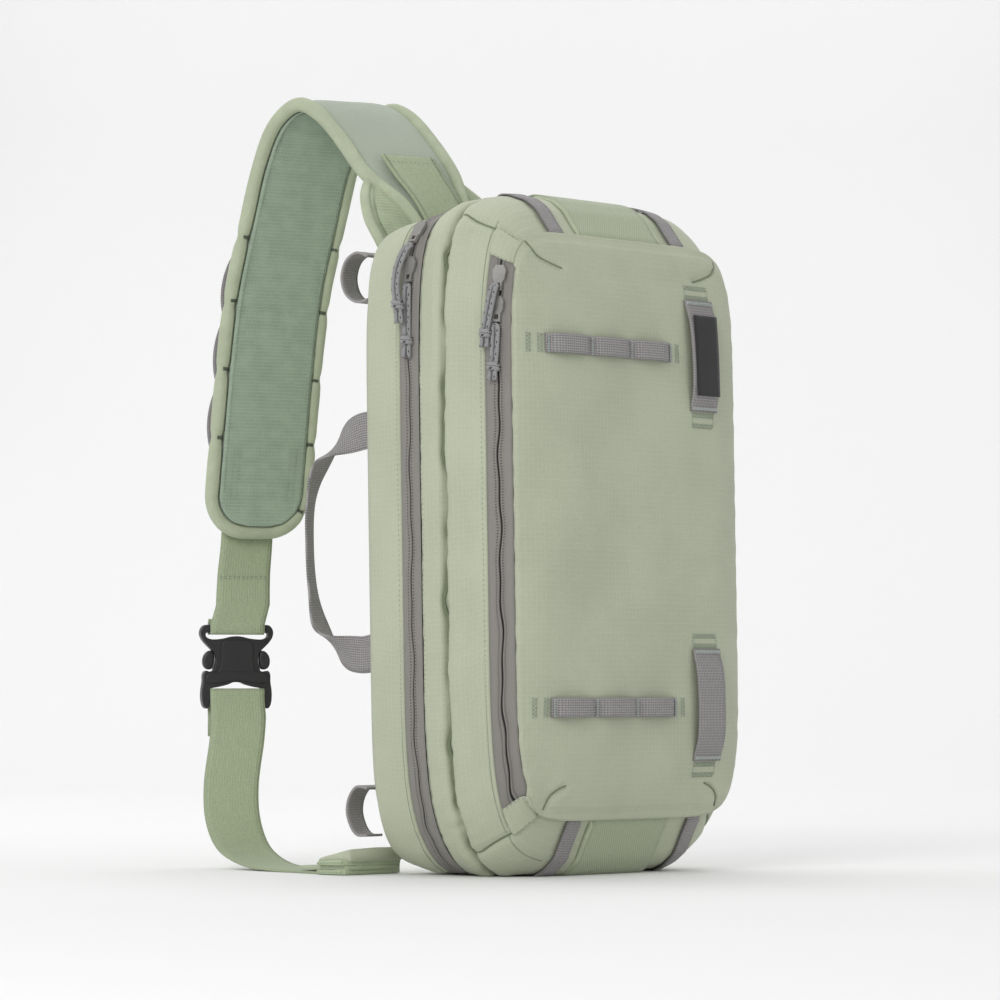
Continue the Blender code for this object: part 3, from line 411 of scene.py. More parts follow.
def moulded(name, colour, roughness, metallic=0.0):
    """Moulded plastic or painted metal with a fine grain and scuffed roughness."""
    finish = Finish(name, roughness, metallic, coat=0.08)
    grain = finish.noise(0.0008, 2.0)
    scuffs = finish.range(finish.noise(0.010, 5.0), 0.35, 0.7)
    base = finish.blend(scuffs * 0.5, colour, shaded(colour, 1.35))
    return finish.set(base, scuffs * 0.16 + (roughness - 0.06), grain, 0.00006, 0.5)


SAGE = (0.422, 0.452, 0.336)
sage_ripstop = ripstop("sage ripstop", SAGE)
# Painted light: a copy of the sage ripstop made 3% brighter stands in for the light on the lit side. It is
# worn by the rear, middle and pocket gussets, the zip end tabs and the corner wing's top layer.
sage_painted_lit = ripstop("sage ripstop, painted lit-side light", shaded(SAGE, 1.03))
strap_cloth = ripstop("strap cloth", (0.350, 0.400, 0.322), 0.0024)
yoke_mesh = grid_cloth("yoke mesh", (0.340, 0.400, 0.262))
tack_thread = plain_cloth("pale thread", (0.300, 0.345, 0.262), 0.0006)
grey_webbing = webbing("grey webbing", (0.335, 0.318, 0.318))
green_webbing = webbing("green webbing", (0.368, 0.430, 0.278), 0.0019, 0.0016, 0.15)
knit_band = twill("knit band", (0.385, 0.435, 0.300))
lining_cloth = grid_cloth("strap lining", (0.285, 0.362, 0.275))
binding_cloth = plain_cloth("green binding", (0.420, 0.470, 0.330))
thread = plain_cloth("sage thread", (0.440, 0.500, 0.350), 0.0006)
bartack_thread = plain_cloth("green thread", (0.285, 0.342, 0.262), 0.0006)
pale_tack = plain_cloth("pale bartack thread", (0.400, 0.445, 0.420), 0.0006)
# Painted shadow: dark green for the tubes laid along the seams, which stand in for the shade in their folds.
seam_shadow = plain_cloth("painted seam shadow", (0.175, 0.205, 0.130))
zipper_tape = tape("zipper tape", (0.245, 0.232, 0.215))
black_label = plain_cloth("plain black label", (0.017, 0.017, 0.018), 0.0009)
pull_cord = flecked_cord("flecked cord", (0.345, 0.345, 0.352))
black_plastic = moulded("black buckle plastic", (0.012, 0.012, 0.013), 0.46)
slider_paint = moulded("grey slider paint", (0.235, 0.228, 0.215), 0.38, 0.35)

SLOTS = {
    "sage_ripstop": sage_ripstop, "zipper_tape": zipper_tape, "knit_band": knit_band,
    "grey_webbing": grey_webbing, "green_webbing": green_webbing, "strap_lining": lining_cloth,
    "green_binding": binding_cloth, "black_label": black_label, "black_plastic": black_plastic,
    "slider_metal": slider_paint, "pull_cord": pull_cord,
}


# Making pieces


def run_along(points):
    """How far along a line each of its places is."""
    return np.concatenate([[0.0], np.cumsum(np.linalg.norm(np.diff(points, axis=0), axis=1))])


def grid_faces(index):
    """The four corners of each square in a grid of point numbers."""
    return np.stack([index[:-1, :-1], index[:-1, 1:], index[1:, 1:], index[1:, :-1]], -1)


def turned_over(faces):
    """The same squares facing the other way."""
    return faces[..., [0, 3, 2, 1]]


def arrays(*values):
    return np.broadcast_arrays(*(np.asarray(value, float) for value in values))


def join_in(piece, nodes=()):
    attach(piece, "root")
    if nodes:
        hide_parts(*nodes)
    return piece


BASE_CLOTH = ("rear_gusset_cloth", "middle_gusset_cloth", "side_gusset_cloth", "pocket_gusset_cloth",
              "front_panel_cloth")
SURFACES = []
# How far off the cloth a place may lie when it is settled onto it.
SETTLE_REACH = 0.012


def settle(points, off, lift=0.0):
    """The same places moved along their directions onto the cloth, and this far above it."""
    points, off = np.asarray(points, float), np.broadcast_to(np.asarray(off, float), np.shape(points))
    found = points.reshape(-1, 3).copy()
    for i, (point, away) in enumerate(zip(points.reshape(-1, 3), off.reshape(-1, 3))):
        start = Vector(point + away * SETTLE_REACH)
        best = None
        for tree in SURFACES:
            hit, _, _, distance = tree.ray_cast(start, Vector(-away), 2 * SETTLE_REACH)
            if hit is not None and (best is None or distance < best):
                best = distance
        if best is not None:
            found[i] = point + away * (SETTLE_REACH - best + lift)
    return found.reshape(points.shape)


def mesh_piece(name, points, faces, places, material):
    """A mesh with a place in metres on the cloth for each corner."""
    if name in BASE_CLOTH:
        SURFACES.append(BVHTree.FromPolygons([tuple(point) for point in points], faces))
    mesh = bpy.data.meshes.new(name)
    mesh.from_pydata([tuple(point) for point in points], [], faces)
    mesh.update()
    if places is not None:
        layer = mesh.uv_layers.new(name="UVMap")
        index = np.empty(len(mesh.loops), np.int32)
        mesh.loops.foreach_get("vertex_index", index)
        layer.data.foreach_set("uv", np.asarray(places, np.float32)[index].ravel())
    mesh.materials.append(material)
    mesh.shade_smooth()
    piece = bpy.data.objects.new(name, mesh)
    bpy.context.scene.collection.objects.link(piece)
    return piece


def grid_piece(name, rows, places, material, wall=0.0, offset=-1.0, closed=False, missing=None,
               merged=False):
    """A sheet from a grid of points. Its front looks along columns crossed with rows."""
    rows = np.asarray(rows, float)
    count, columns = rows.shape[:2]
    places = np.asarray(places, float)
    if closed and not merged:
        rows = np.concatenate([rows, rows[:1]])
        last = places[:1].copy()
        last[..., 0] = places[-1:, :, 0] + (places[1, 0, 0] - places[0, 0, 0])
        places = np.concatenate([places, last])
        count += 1
    index = np.arange(count * columns).reshape(count, columns)
    if merged:
        index = np.concatenate([index, index[:1]])
    quads = grid_faces(index)
    if missing is not None:
        quads = quads[~missing[:quads.shape[0], :quads.shape[1]]]
    faces = quads.reshape(-1, 4).tolist()
    piece = mesh_piece(name, rows.reshape(-1, 3), faces, places.reshape(-1, 2), material)
    if wall:
        solid = piece.modifiers.new("Wall", "SOLIDIFY")
        solid.thickness = wall
        solid.offset = offset
    return piece


def tube_piece(name, points, radius, material, sides=8, squash=1.0):
    """A round tube along points, with closed ends."""
    points = np.asarray(points, float)
    radius = np.broadcast_to(np.asarray(radius, float), (len(points),))
    ahead = np.gradient(points, axis=0)
    ahead /= np.linalg.norm(ahead, axis=1)[:, None]
    side = np.cross(ahead[0], (0.31, 0.52, 0.79))
    rows, run = [], [0.0]
    for i, point in enumerate(points):
        side = side - ahead[i] * side.dot(ahead[i])
        side /= np.linalg.norm(side)
        other = np.cross(ahead[i], side)
        turned = np.arange(sides + 1) * 2 * math.pi / sides
        rows.append(point + radius[i] * (
            np.outer(np.cos(turned), side) + squash * np.outer(np.sin(turned), other)))
        if i:
            run.append(run[-1] + float(np.linalg.norm(point - points[i - 1])))
    rows = np.array(rows)
    around = np.arange(sides + 1) / sides * 2 * math.pi * float(radius.mean())
    places = np.stack(np.meshgrid(run, around, indexing="ij"), -1).reshape(-1, 2)
    count = len(points)
    index = np.arange(count * (sides + 1)).reshape(count, sides + 1)
    faces = grid_faces(index).reshape(-1, 4).tolist()
    faces += [index[0, :-1][::-1].tolist(), index[-1, :-1].tolist()]
    return mesh_piece(name, rows.reshape(-1, 3), faces, places, material)


def smooth_line(points, steps):
    """A curve through points, with this many steps between each two."""
    points = [np.asarray(point, float) for point in points]
    padded = [points[0], *points, points[-1]]
    found = []
    for b, a, d, c in zip(padded, padded[1:], padded[2:], padded[3:]):
        for i in range(steps):
            t = i / steps
            found.append(0.5 * (2 * a + (d - b) * t + (2 * b - 5 * a + 4 * d - c) * t**2
                                + (3 * a - b - 3 * d + c) * t**3))
    return np.array(found + [points[-1]])


def even_line(points, pitch):
    """The same line with places an even distance apart."""
    points = np.asarray(points, float)
    run = run_along(points)
    count = max(int(round(run[-1] / pitch)), 2)
    at = np.linspace(0, run[-1], count + 1)
    return np.stack([np.interp(at, run, points[:, k]) for k in range(points.shape[1])], -1)


def stitches(name, lines, material, length=0.0021, gap=0.0011, width=0.00028, lift=0.0001):
    """Rows of short thread bars. Each line is (points, directions off the cloth)."""
    bars, faces = [], []
    for points, off in lines:
        both = even_line(np.concatenate([points, off], axis=1), (length + gap) / 2)
        for a, b in zip(both[:-1:2], both[1::2]):
            along = (b[:3] - a[:3]) / max(np.linalg.norm(b[:3] - a[:3]), 1e-9)
            away = a[3:] / np.linalg.norm(a[3:])
            side = np.cross(along, away) * width
            middle = (a[:3] + b[:3]) / 2
            half = along * length / 2
            high = middle + away * (lift + width * 1.3)
            start = len(bars)
            bars += [middle - half - away * width, middle - half * 0.55 + side + away * lift,
                     middle + half * 0.55 + side + away * lift, middle + half - away * width,
                     middle + half * 0.55 - side + away * lift, middle - half * 0.55 - side + away * lift,
                     high - half * 0.5, high + half * 0.5]
            faces += [(start + p, start + q, start + r) for p, q, r in (
                (0, 6, 5), (0, 1, 6), (3, 4, 7), (3, 7, 2))]
            faces += [(start + p, start + q, start + r, start + s) for p, q, r, s in (
                (5, 6, 7, 4), (1, 2, 7, 6))]
    return mesh_piece(name, bars, faces, None, material)


# The body's shape


def section(depth):
    """The section's values at a depth, eased a little so that the cloth has no hard bend."""
    found = []
    for column in range(1, 6):
        value = 0.0
        for step in (-0.010, -0.005, 0.0, 0.005, 0.010):
            value = value + np.interp(depth + step, BODY_SECTIONS[:, 0], BODY_SECTIONS[:, column])
        found.append(value / 5)
    return found


def square_point(turn):
    run = np.mod(turn, 1.0) * ROUND_WAY
    half = BAG_WIDTH / 2
    stops = np.cumsum([half, BAG_HEIGHT, BAG_WIDTH, BAG_HEIGHT])
    across = np.select(
        [run < stops[0], run < stops[1], run < stops[2], run < stops[3]],
        [-run / half, -np.ones_like(run), 2 * (run - stops[1]) / BAG_WIDTH - 1, np.ones_like(run)],
        1 - (run - stops[3]) / half)
    up = np.select(
        [run < stops[0], run < stops[1], run < stops[2], run < stops[3]],
        [-np.ones_like(run), 2 * (run - stops[0]) / BAG_HEIGHT - 1, np.ones_like(run),
         1 - 2 * (run - stops[2]) / BAG_HEIGHT],
        -np.ones_like(run))
    return across, up


def body_point(across, up, depth, rho=1.0):
    width, top, bottom, top_power, bottom_power = section(depth)
    power = bottom_power + (top_power - bottom_power) * (up + 1) / 2
    reach = (np.abs(across) ** power + np.abs(up) ** power) ** (-1 / power)
    x = across * reach * width * BAG_WIDTH / 2 * rho
    z = BAG_HEIGHT * ((top + bottom) / 2 + up * reach * (top - bottom) / 2 * rho)
    y = BACK_EDGE_Y - GUSSET_DEPTH * depth
    return np.stack([x - BODY_LEAN * z / BAG_HEIGHT, y + 0 * x, z], -1)


def unit(vectors):
    return vectors / np.maximum(np.linalg.norm(vectors, axis=-1, keepdims=True), 1e-12)


def skin(turn, depth, out=0.0):
    """Places on the gusset, moved off it, and kept above the ground."""
    turn, depth, out = arrays(turn, depth, out)
    here = body_point(*square_point(turn), depth)
    along = (body_point(*square_point(turn + 0.0015), depth)
             - body_point(*square_point(turn - 0.0015), depth))
    over = (body_point(*square_point(turn), np.minimum(depth + 0.012, 1.0))
            - body_point(*square_point(turn), np.maximum(depth - 0.012, 0.0)))
    off = unit(np.cross(over, along))
    moved = here + off * out[..., None]
    moved[..., 2] = np.maximum(moved[..., 2], BASE_LIFT - out)
    return moved


def skin_off(turn, depth):
    return unit(skin(turn, depth, 0.002) - skin(turn, depth, 0.0) + np.array([0.0, 0.0, 1e-9]))


def turn_at_height(height, depth, side=-1):
    low, high = 0.05, 0.45
    for _ in range(30):
        middle = (low + high) / 2
        if float(body_point(*square_point(np.array(middle)), np.array(depth))[2]) < height:
            low = middle
        else:
            high = middle
    return low if side < 0 else 1.0 - low


def turn_at_width(x, depth, top=True):
    x, depth = arrays(x, depth)
    low, high = (np.full(x.shape, value) for value in ((0.36, 0.64) if top else (-0.14, 0.14)))
    for _ in range(24):
        middle = (low + high) / 2
        point = body_point(*square_point(middle), depth)
        before = (point[..., 0] + BODY_LEAN * point[..., 2] / BAG_HEIGHT < x) == top
        low, high = np.where(before, middle, low), np.where(before, high, middle)
    return low


def soft_noise(points, size, seed):
    """A gentle rise and fall from -1 to 1 about this far across, the same on every run."""
    generator = np.random.default_rng(seed)
    total = np.zeros(points.shape[:-1])
    for _ in range(7):
        direction = unit(generator.normal(size=3))
        speed = 2 * math.pi / size * generator.uniform(0.6, 1.5)
        total += np.sin(points @ direction * speed + generator.uniform(0, 2 * math.pi))
    return total / 4.0


def hem_roll(distance, radius=0.0026):
    """How far cloth turns down at this distance from its edge."""
    near = np.clip(radius - distance, 0.0, radius)
    return radius - np.sqrt(np.maximum(radius**2 - near**2, 0.0))


def puckers(run, distance, size, depth, reach, seed):
    """Small gathers beside a seam."""
    generator = np.random.default_rng(seed)
    wave = sum(
        np.sin(2 * math.pi * round(ROUND_WAY / (size * k)) * run / ROUND_WAY + generator.uniform(0, 6.3))
        for k in (1.0, 1.37, 1.9)) / 3
    return depth * wave * np.exp(-distance / reach)


# The front panel's folds and dents: side from its middle line, height, breadth, height of
# the form, and how far it stands out. A negative last value is a hollow.
FRONT_FORMS = [
    (-0.095, 0.352, 0.012, 0.020, -0.0012),
    (-0.020, 0.325, 0.060, 0.012, -0.0008),
    (0.040, 0.300, 0.030, 0.060, 0.0007),
    (0.066, 0.398, 0.020, 0.008, -0.0008),
    (0.066, 0.292, 0.018, 0.010, -0.0009),
    (0.066, 0.160, 0.018, 0.010, -0.0009),
    (0.066, 0.064, 0.018, 0.008, -0.0008),
    (-0.030, 0.085, 0.070, 0.014, 0.0009),
    (-0.088, 0.070, 0.012, 0.030, -0.0014),
    (0.020, 0.130, 0.040, 0.010, -0.0007),
    (-0.070, 0.230, 0.030, 0.090, 0.0008),
    (-0.085, 0.396, 0.018, 0.010, -0.0016),
    (0.000, 0.395, 0.060, 0.006, -0.0006),
]


def front_rho(x, z):
    width, top, bottom, top_power, bottom_power = BODY_SECTIONS[-1][1:]
    across = (x + BODY_LEAN * z / BAG_HEIGHT) / (width * BAG_WIDTH / 2)
    half_height = BAG_HEIGHT * (top - bottom) / 2
    up = (z - BAG_HEIGHT * (top + bottom) / 2) / half_height
    share = (np.clip(up, -1, 1) + 1) / 2
    power = bottom_power + (top_power - bottom_power) * share
    return (np.abs(across) ** power + np.abs(up) ** power) ** (1 / power)


def front_face(side, z, out=0.0):
    """Places on the front panel, given from its own middle line."""
    side, z, out = arrays(side, z, out)
    x = side - BODY_LEAN * z / BAG_HEIGHT
    rho = np.minimum(front_rho(x, z), 1.0)
    y = BACK_EDGE_Y - GUSSET_DEPTH - CLOTH_WALL - LAID_GAP - FRONT_CROWN * (1 - rho**CROWN_POWER)
    forms = np.zeros_like(x)
    for at, height, broad, high, rise in FRONT_FORMS:
        forms = forms + rise * np.exp(-((side - at) / broad) ** 2 - ((z - height) / high) ** 2)
    return np.stack([x, y - out - forms, z], -1)


# Corner seams: places on the gusset as (turn, depth), then on the front panel as (side, height).
CORNER_ROUTES = [
    ([(0.4215, 0.606), (0.4170, 0.743), (0.4185, 0.868), (0.4220, 0.920), (0.4235, 0.970)],
     [(-0.0895, 0.4065), (-0.0790, 0.4020), (-0.0665, 0.3985)]),
    ([(0.0785, 0.606), (0.0805, 0.764), (0.0785, 0.868), (0.0740, 0.913), (0.0695, 0.955)],
     [(-0.0850, 0.0500), (-0.0775, 0.0560), (-0.0705, 0.0585)]),
]


def corner_seams(out=0.0):
    """The four corner seams as lines in space, each ending in a dart on the front panel."""
    found = []
    for gusset, face in CORNER_ROUTES:
        gusset, face = np.array(gusset), np.array(face)
        for side in (-1, 1):
            turn = gusset[:, 0] if side < 0 else 1.0 - gusset[:, 0]
            points = np.concatenate([
                skin(turn, gusset[:, 1], out), front_face(-side * face[:, 0], face[:, 1], out)])
            found.append(even_line(smooth_line(points, 8), 0.0015))
    return found


CORNER_SEAMS = corner_seams()


def groove(points, lines, deep=0.0015, broad=0.0026):
    """How far cloth is drawn in beside these lines."""
    found = np.zeros(points.shape[:-1])
    for line in lines:
        away = np.full(points.shape[:-1], 1.0)
        for place in line:
            away = np.minimum(away, np.linalg.norm(points - place, axis=-1))
        found = np.maximum(found, deep * np.exp(-((away / broad) ** 2)))
    return found


def seam_sway(turn):
    """How the deep seam wanders, as a depth."""
    turned = 2 * math.pi * np.asarray(turn)
    return (0.0012 * np.sin(12 * turned + 0.6) + 0.0008 * np.sin(29 * turned + 2.0)
            + 0.0004 * np.sin(58 * turned)) / GUSSET_DEPTH


def edged(count):
    """Shares from 0 to 1, closer together at both ends."""
    return (1 - np.cos(np.linspace(0, math.pi, count))) / 2


def strip(name, first, last, start, end, material, puff, seed, closed=False, columns=22,
          roll=(1.0, 1.0), sway=0.0):
    """Cloth between two depths of the body, soft between its seams."""
    count = int(round((last - first) * ROUND_WAY / 0.0026))
    turn = np.linspace(first, last, count, endpoint=not closed)[:, None]
    share = edged(columns)[None, :]
    depth = start + (end - start) * share + sway * seam_sway(turn) * share**3
    breadth = (end - start) * GUSSET_DEPTH
    near_start, near_end = share * breadth, (1 - share) * breadth
    turn, depth = np.broadcast_arrays(turn, depth)
    run = turn * ROUND_WAY
    flat = skin(turn, depth)
    out = (puff * np.sin(math.pi * share) ** 0.8
           - roll[0] * hem_roll(near_start) - roll[1] * hem_roll(near_end)
           + 0.0007 * soft_noise(flat, 0.060, seed) * np.sin(math.pi * share)
           + sway * (0.0012 * np.exp(-(((near_end - 0.0062) / 0.0042) ** 2))
                     + 0.0006 * np.sin(19 * 2 * math.pi * turn) * np.exp(-near_end / 0.012))
           + puckers(run, near_start, 0.011, 0.00030, 0.006, seed + 1)
           + puckers(run, near_end, 0.013, 0.00035 + 0.0003 * sway, 0.007, seed + 2))
    rows = skin(turn, depth, out)
    places = np.stack([np.broadcast_to(run, depth.shape), (depth - start) * GUSSET_DEPTH], -1)
    piece = grid_piece(name, rows, places, material, 0.0012, closed=closed)
    return join_in(piece, [name.replace("_cloth", "")])


HALF_MAIN = ZIP_TAPE / 2 / GUSSET_DEPTH
FRONT_ZIP_TURNS = tuple(turn_at_height(height, FRONT_ZIP_DEPTH) for height in (FRONT_ZIP_LOW, FRONT_ZIP_HIGH))
GAP_SHARE = 0.0003 / GUSSET_DEPTH


def build_gusset_cloth():
    # The rear and middle strips wear the brighter ripstop copy, as painted light.
    strip("rear_gusset_cloth", 0.0, 1.0, 0.0, MAIN_ZIP_DEPTH - HALF_MAIN - GAP_SHARE, sage_painted_lit, 0.0010, 11,
          closed=True)
    strip("middle_gusset_cloth", 0.0, 1.0, MAIN_ZIP_DEPTH + HALF_MAIN + GAP_SHARE, SEAM_DEPTH - GAP_SHARE,
          sage_painted_lit, 0.0016, 23, closed=True, roll=(1.0, 1.7), sway=1.0)
    strip("side_gusset_cloth", MAIN_ZIP_END, 1.0 + MAIN_ZIP_START, MAIN_ZIP_DEPTH - HALF_MAIN + GAP_SHARE,
          MAIN_ZIP_DEPTH + HALF_MAIN - GAP_SHARE, sage_ripstop, 0.0004, 31, columns=12, roll=(0.4, 0.4))


def build_pocket_gusset():
    """The front ring, with the front zipper's window left open."""
    low, high = FRONT_ZIP_TURNS
    start, end = SEAM_DEPTH + GAP_SHARE, 1.0
    pitch = 0.0024 / ROUND_WAY
    turns = np.concatenate([
        np.arange(0.0, low, pitch), low + np.array([0.0, 0.2, 0.5]) * 0.002,
        np.arange(low + 0.002, high - 0.002, pitch), high - np.array([0.5, 0.2, 0.0]) * 0.002,
        np.arange(high + pitch, 1.0, pitch)])
    window = FRONT_ZIP_BACK
    depths = np.concatenate([start + (window - start) * edged(22), window + (end - window) * edged(12)[1:]])
    turn, depth = np.meshgrid(turns, depths, indexing="ij")
    run = turn * ROUND_WAY
    near_seam = (depth - start) * GUSSET_DEPTH
    depth = depth + seam_sway(turn) * np.exp(-near_seam / 0.007)
    beside = (turn > low - 1e-9) & (turn < high + 1e-9)
    near_window = np.where(beside, np.abs(window - depth) * GUSSET_DEPTH, 1.0)
    ends = np.minimum(np.abs(turn - low), np.abs(turn - high)) * ROUND_WAY
    ahead = np.where(depth > window - 1e-9, ends, 1.0)
    near_front = (end - depth) * GUSSET_DEPTH
    flat = skin(turn, depth)
    swell = np.sin(math.pi * np.clip((depth - start) / (window - start), 0, 1))
    out = (0.0012 * swell - 1.7 * hem_roll(near_seam)
           - hem_roll(near_window, 0.0018) - hem_roll(ahead, 0.0014)
           + 0.0014 * np.exp(-(((near_seam - 0.0065) / 0.0045) ** 2))
           + 0.0009 * soft_noise(flat, 0.070, 41) * (0.3 + 0.7 * swell)
           + 0.0006 * np.sin(17 * 2 * math.pi * turn + 1.0) * np.exp(-near_seam / 0.012)
           + puckers(run, near_seam, 0.012, 0.0006, 0.007, 42)
           + puckers(run, near_front, 0.016, 0.0003, 0.006, 43))
    tucked = np.where(beside, 0.0, 0.0008 * np.clip((depth - 0.975) / 0.01, 0, 1))
    out = out - groove(flat, CORNER_SEAMS) - tucked
    for line, broad, deep in GUSSET_CREASES:
        line = np.array(line)
        bent = np.interp(run, line[:, 0] * ROUND_WAY, line[:, 1] * GUSSET_DEPTH)
        inside = (turn > line[0, 0]) & (turn < line[-1, 0])
        out = out - np.where(inside, deep * np.exp(-((depth * GUSSET_DEPTH - bent) / broad) ** 2), 0.0)
    rows = skin(turn, depth, out)
    places = np.stack([run, depth * GUSSET_DEPTH], -1)
    missing = (turn >= low - 1e-9) & (turn < high - 1e-9) & (depth >= window - 1e-9)
    # The pocket gusset wears the brighter ripstop copy, as painted light.
    piece = grid_piece("pocket_gusset_cloth", rows, places, sage_painted_lit, 0.0012, closed=True,
                       missing=missing)
    return join_in(piece, ["pocket_gusset"])


# Soft valleys in the pocket gusset: places as (turn, depth), how broad and how deep.
GUSSET_CREASES = [
    ([(0.10, 0.735), (0.20, 0.728), (0.30, 0.722), (0.41, 0.715)], 0.0035, 0.0010),
    ([(0.11, 0.800), (0.20, 0.812), (0.30, 0.808), (0.40, 0.790)], 0.0030, -0.0006),
]


def build_zipper(name, node, first, last, middle, breadth):
    """Tape with two raised coils under it and a dark line where they meet, painted as shade in the groove
    between them.
    """
    marks = np.array([-1.0, -0.75, -0.5, -0.42, -0.36, -0.28, -0.18, -0.10, -0.06, -0.03, 0.0])
    share = np.concatenate([marks, -marks[-2::-1]])
    half = breadth / 2
    heights = np.interp(np.abs(share) * half, [0.0, 0.0004, 0.0009, 0.0020, 0.0030, 0.0036, half],
                        [-0.0012, -0.0010, 0.0004, 0.0007, 0.0005, -0.0003, -0.0004])
    turn = np.linspace(first, last, int((last - first) * ROUND_WAY / 0.0022))[:, None]
    run = turn * ROUND_WAY
    sway = (0.0008 * np.sin(run * 2 * math.pi / 0.085 + 1.0)
            + 0.0005 * np.sin(run * 2 * math.pi / 0.037)) / GUSSET_DEPTH
    taper = 1 - np.abs(share)[None, :]
    depth = middle + share[None, :] * half / GUSSET_DEPTH + sway * taper
    turn = np.broadcast_to(turn, depth.shape)
    rows = skin(turn, depth, heights[None, :] + 0.0 * depth)
    places = np.stack([turn * ROUND_WAY, np.broadcast_to(share * half, depth.shape)], -1)
    piece = grid_piece(name, rows, places, zipper_tape, 0.0006)
    return join_in(piece, [node])


def build_front_panel():
    """The front cloth, carried round onto the gusset except beside the zipper."""
    low, high = FRONT_ZIP_TURNS
    turns = np.linspace(0, 1, 380, endpoint=False)[:, None]
    across, up = square_point(turns)
    share = 1 - 0.985 * (1 - np.linspace(0, 1, 56)[None, :]) ** 1.7
    flat = body_point(across, up, np.ones_like(share), share * (1 - 0.0006 / BAG_WIDTH))
    x, z = flat[..., 0], flat[..., 2]
    side = x + BODY_LEAN * z / BAG_HEIGHT
    near = (1 - share) * BAG_WIDTH / 2
    out = (0.0012 * soft_noise(flat, 0.085, 51) * np.clip(near / 0.02, 0, 1)
           + puckers(turns * ROUND_WAY, near, 0.017, 0.0004, 0.008, 52))
    face = front_face(side, z, out)
    face = np.concatenate([face[:, :1] * 0 + face[:, :1].mean(axis=0), face], 1)
    depth = 1.0 - np.linspace(0.004, 0.030, 5)[None, :]
    round_edge = skin(turns, depth, np.linspace(0.0012, 0.0034, 5)[None, :])
    turned_in = face[:, -1:] + np.linspace(0.0004, 0.0030, 5)[None, :, None] * np.array([0.0, 1.0, 0.0])
    beside = np.clip(np.minimum(turns - low, high - turns) * ROUND_WAY / 0.004, 0, 1)[..., None]
    rows = np.concatenate([face, round_edge * (1 - beside) + turned_in * beside], 1)
    for _ in range(5):
        softer = rows.copy()
        softer[:, -15:-1] = (rows[:, -16:-2] + 2 * rows[:, -15:-1] + rows[:, -14:]) / 4
        rows = softer
    rows = rows + groove(rows, CORNER_SEAMS)[..., None] * np.array([0.0, 1.0, 0.0])
    places = np.stack([rows[..., 0] + BODY_LEAN * rows[..., 2] / BAG_HEIGHT, rows[..., 2]], -1)
    piece = grid_piece("front_panel_cloth", rows, places, sage_ripstop, 0.0010, offset=1.0, closed=True,
                       merged=True)
    return join_in(piece, ["front_panel"])


def build_back_panel():
    """The padded back, crowned, with shallow sewn channels."""
    across = np.linspace(-1, 1, 70)
    up = np.linspace(-1, 1, 120)
    up, across = np.meshgrid(up, across, indexing="ij")
    share = np.maximum(np.maximum(np.abs(across), np.abs(up)), 1e-6)
    edge = body_point(across / share, up / share, np.zeros_like(share))
    centre = np.array([-BODY_LEAN / 2, 0.0, BAG_HEIGHT * 0.4825])
    face = centre + (edge - centre) * share[..., None]
    channels = np.exp(-((np.abs(across) - 0.42) / 0.03) ** 2) * (np.abs(up) < 0.82)
    channels = channels + np.exp(-((np.abs(up) - 0.45) / 0.02) ** 2) * (np.abs(across) < 0.42)
    rise = 0.0040 * (1 - share**4)
    near = (1 - share) * 0.11
    face[..., 1] = BACK_EDGE_Y + 0.0006 + 0.0060 + rise - hem_roll(near, 0.0050) - 0.0016 * channels
    under = centre + (edge - centre) * share[..., None]
    under[..., 1] = BACK_EDGE_Y + 0.0006 + rise
    places = np.stack([face[..., 0], face[..., 2]], -1)
    count, columns = face.shape[:2]
    index = np.arange(count * columns).reshape(count, columns)
    back = index + count * columns
    quads = turned_over(grid_faces(index)).reshape(-1, 4).tolist()
    quads += grid_faces(back).reshape(-1, 4).tolist()
    ring = np.concatenate([index[0, :-1], index[:-1, -1], index[-1, :0:-1], index[:0:-1, 0]])
    for a, b in zip(ring, np.roll(ring, -1)):
        quads.append([int(a), int(b), int(b) + count * columns, int(a) + count * columns])
    points = np.concatenate([face.reshape(-1, 3), under.reshape(-1, 3)])
    piece = mesh_piece("back_panel_padding", points, quads,
                       np.concatenate([places.reshape(-1, 2)] * 2), sage_ripstop)
    join_in(piece, ["back_panel"])
    return piece


# Depths where the laid pieces end on the front, and between which they sink to its edge
LAID_END = 0.978
LAID_SINK = (0.950, 0.968)


def build_laid_pieces():
    """The knit bands and webbings over the top and the base, with bound edges on the bands."""
    for name, middle, width, start in LAID_PIECES:
        top = name.startswith("top")
        band = name.endswith("band")
        left = middle * BAG_WIDTH - width / 2
        depths = np.linspace(start, LAID_END, 64)
        columns = 15 if band else 5
        depth, xs = np.meshgrid(depths, np.linspace(left, left + width, columns), indexing="ij")
        turn = turn_at_width(xs, depth, top)
        off = skin_off(turn, depth)
        flat = skin(turn, depth)
        rise = np.sum((settle(flat, off) - flat) * off, -1).max(axis=1, keepdims=True)
        rise = np.maximum(np.clip(rise, 0.0, 0.004) * (depth < 0.965) + 0.0006, 0.0014)
        rows = skin(turn, depth, rise * (1 - eased(depth, *LAID_SINK)))
        run = run_along(rows[:, columns // 2])
        places = np.stack([np.broadcast_to(run[:, None], xs.shape), xs - left], -1)
        if top:
            rows, places = rows[:, ::-1], places[:, ::-1]
        material = knit_band if band else grey_webbing
        piece = grid_piece(f"{name}_cloth", rows, places, material, 0.0011, offset=1.0)
        join_in(piece, [name])
        if not band:
            continue
        for side, x in (("left", left), ("right", left + width)):
            line = skin(turn_at_width(x, depths, top), depths,
                        0.0013 * (1 - 1.6 * eased(depths, *LAID_SINK)))
            welt = tube_piece(f"{name}_edge_{side}", line, 0.0016, binding_cloth, 8)
            join_in(welt)


FRONT_OFF = np.array([0.0, -1.0, 0.0])


def on_front(side, z, out=0.0):
    """A level row of places over the front cloth: as far out as its highest fold, and this much more."""
    flat = front_face(side, z)
    surface = settle(flat, FRONT_OFF)
    rise = max(float((flat[..., 1] - surface[..., 1]).max()), 0.0)
    return flat + FRONT_OFF * (rise + out)


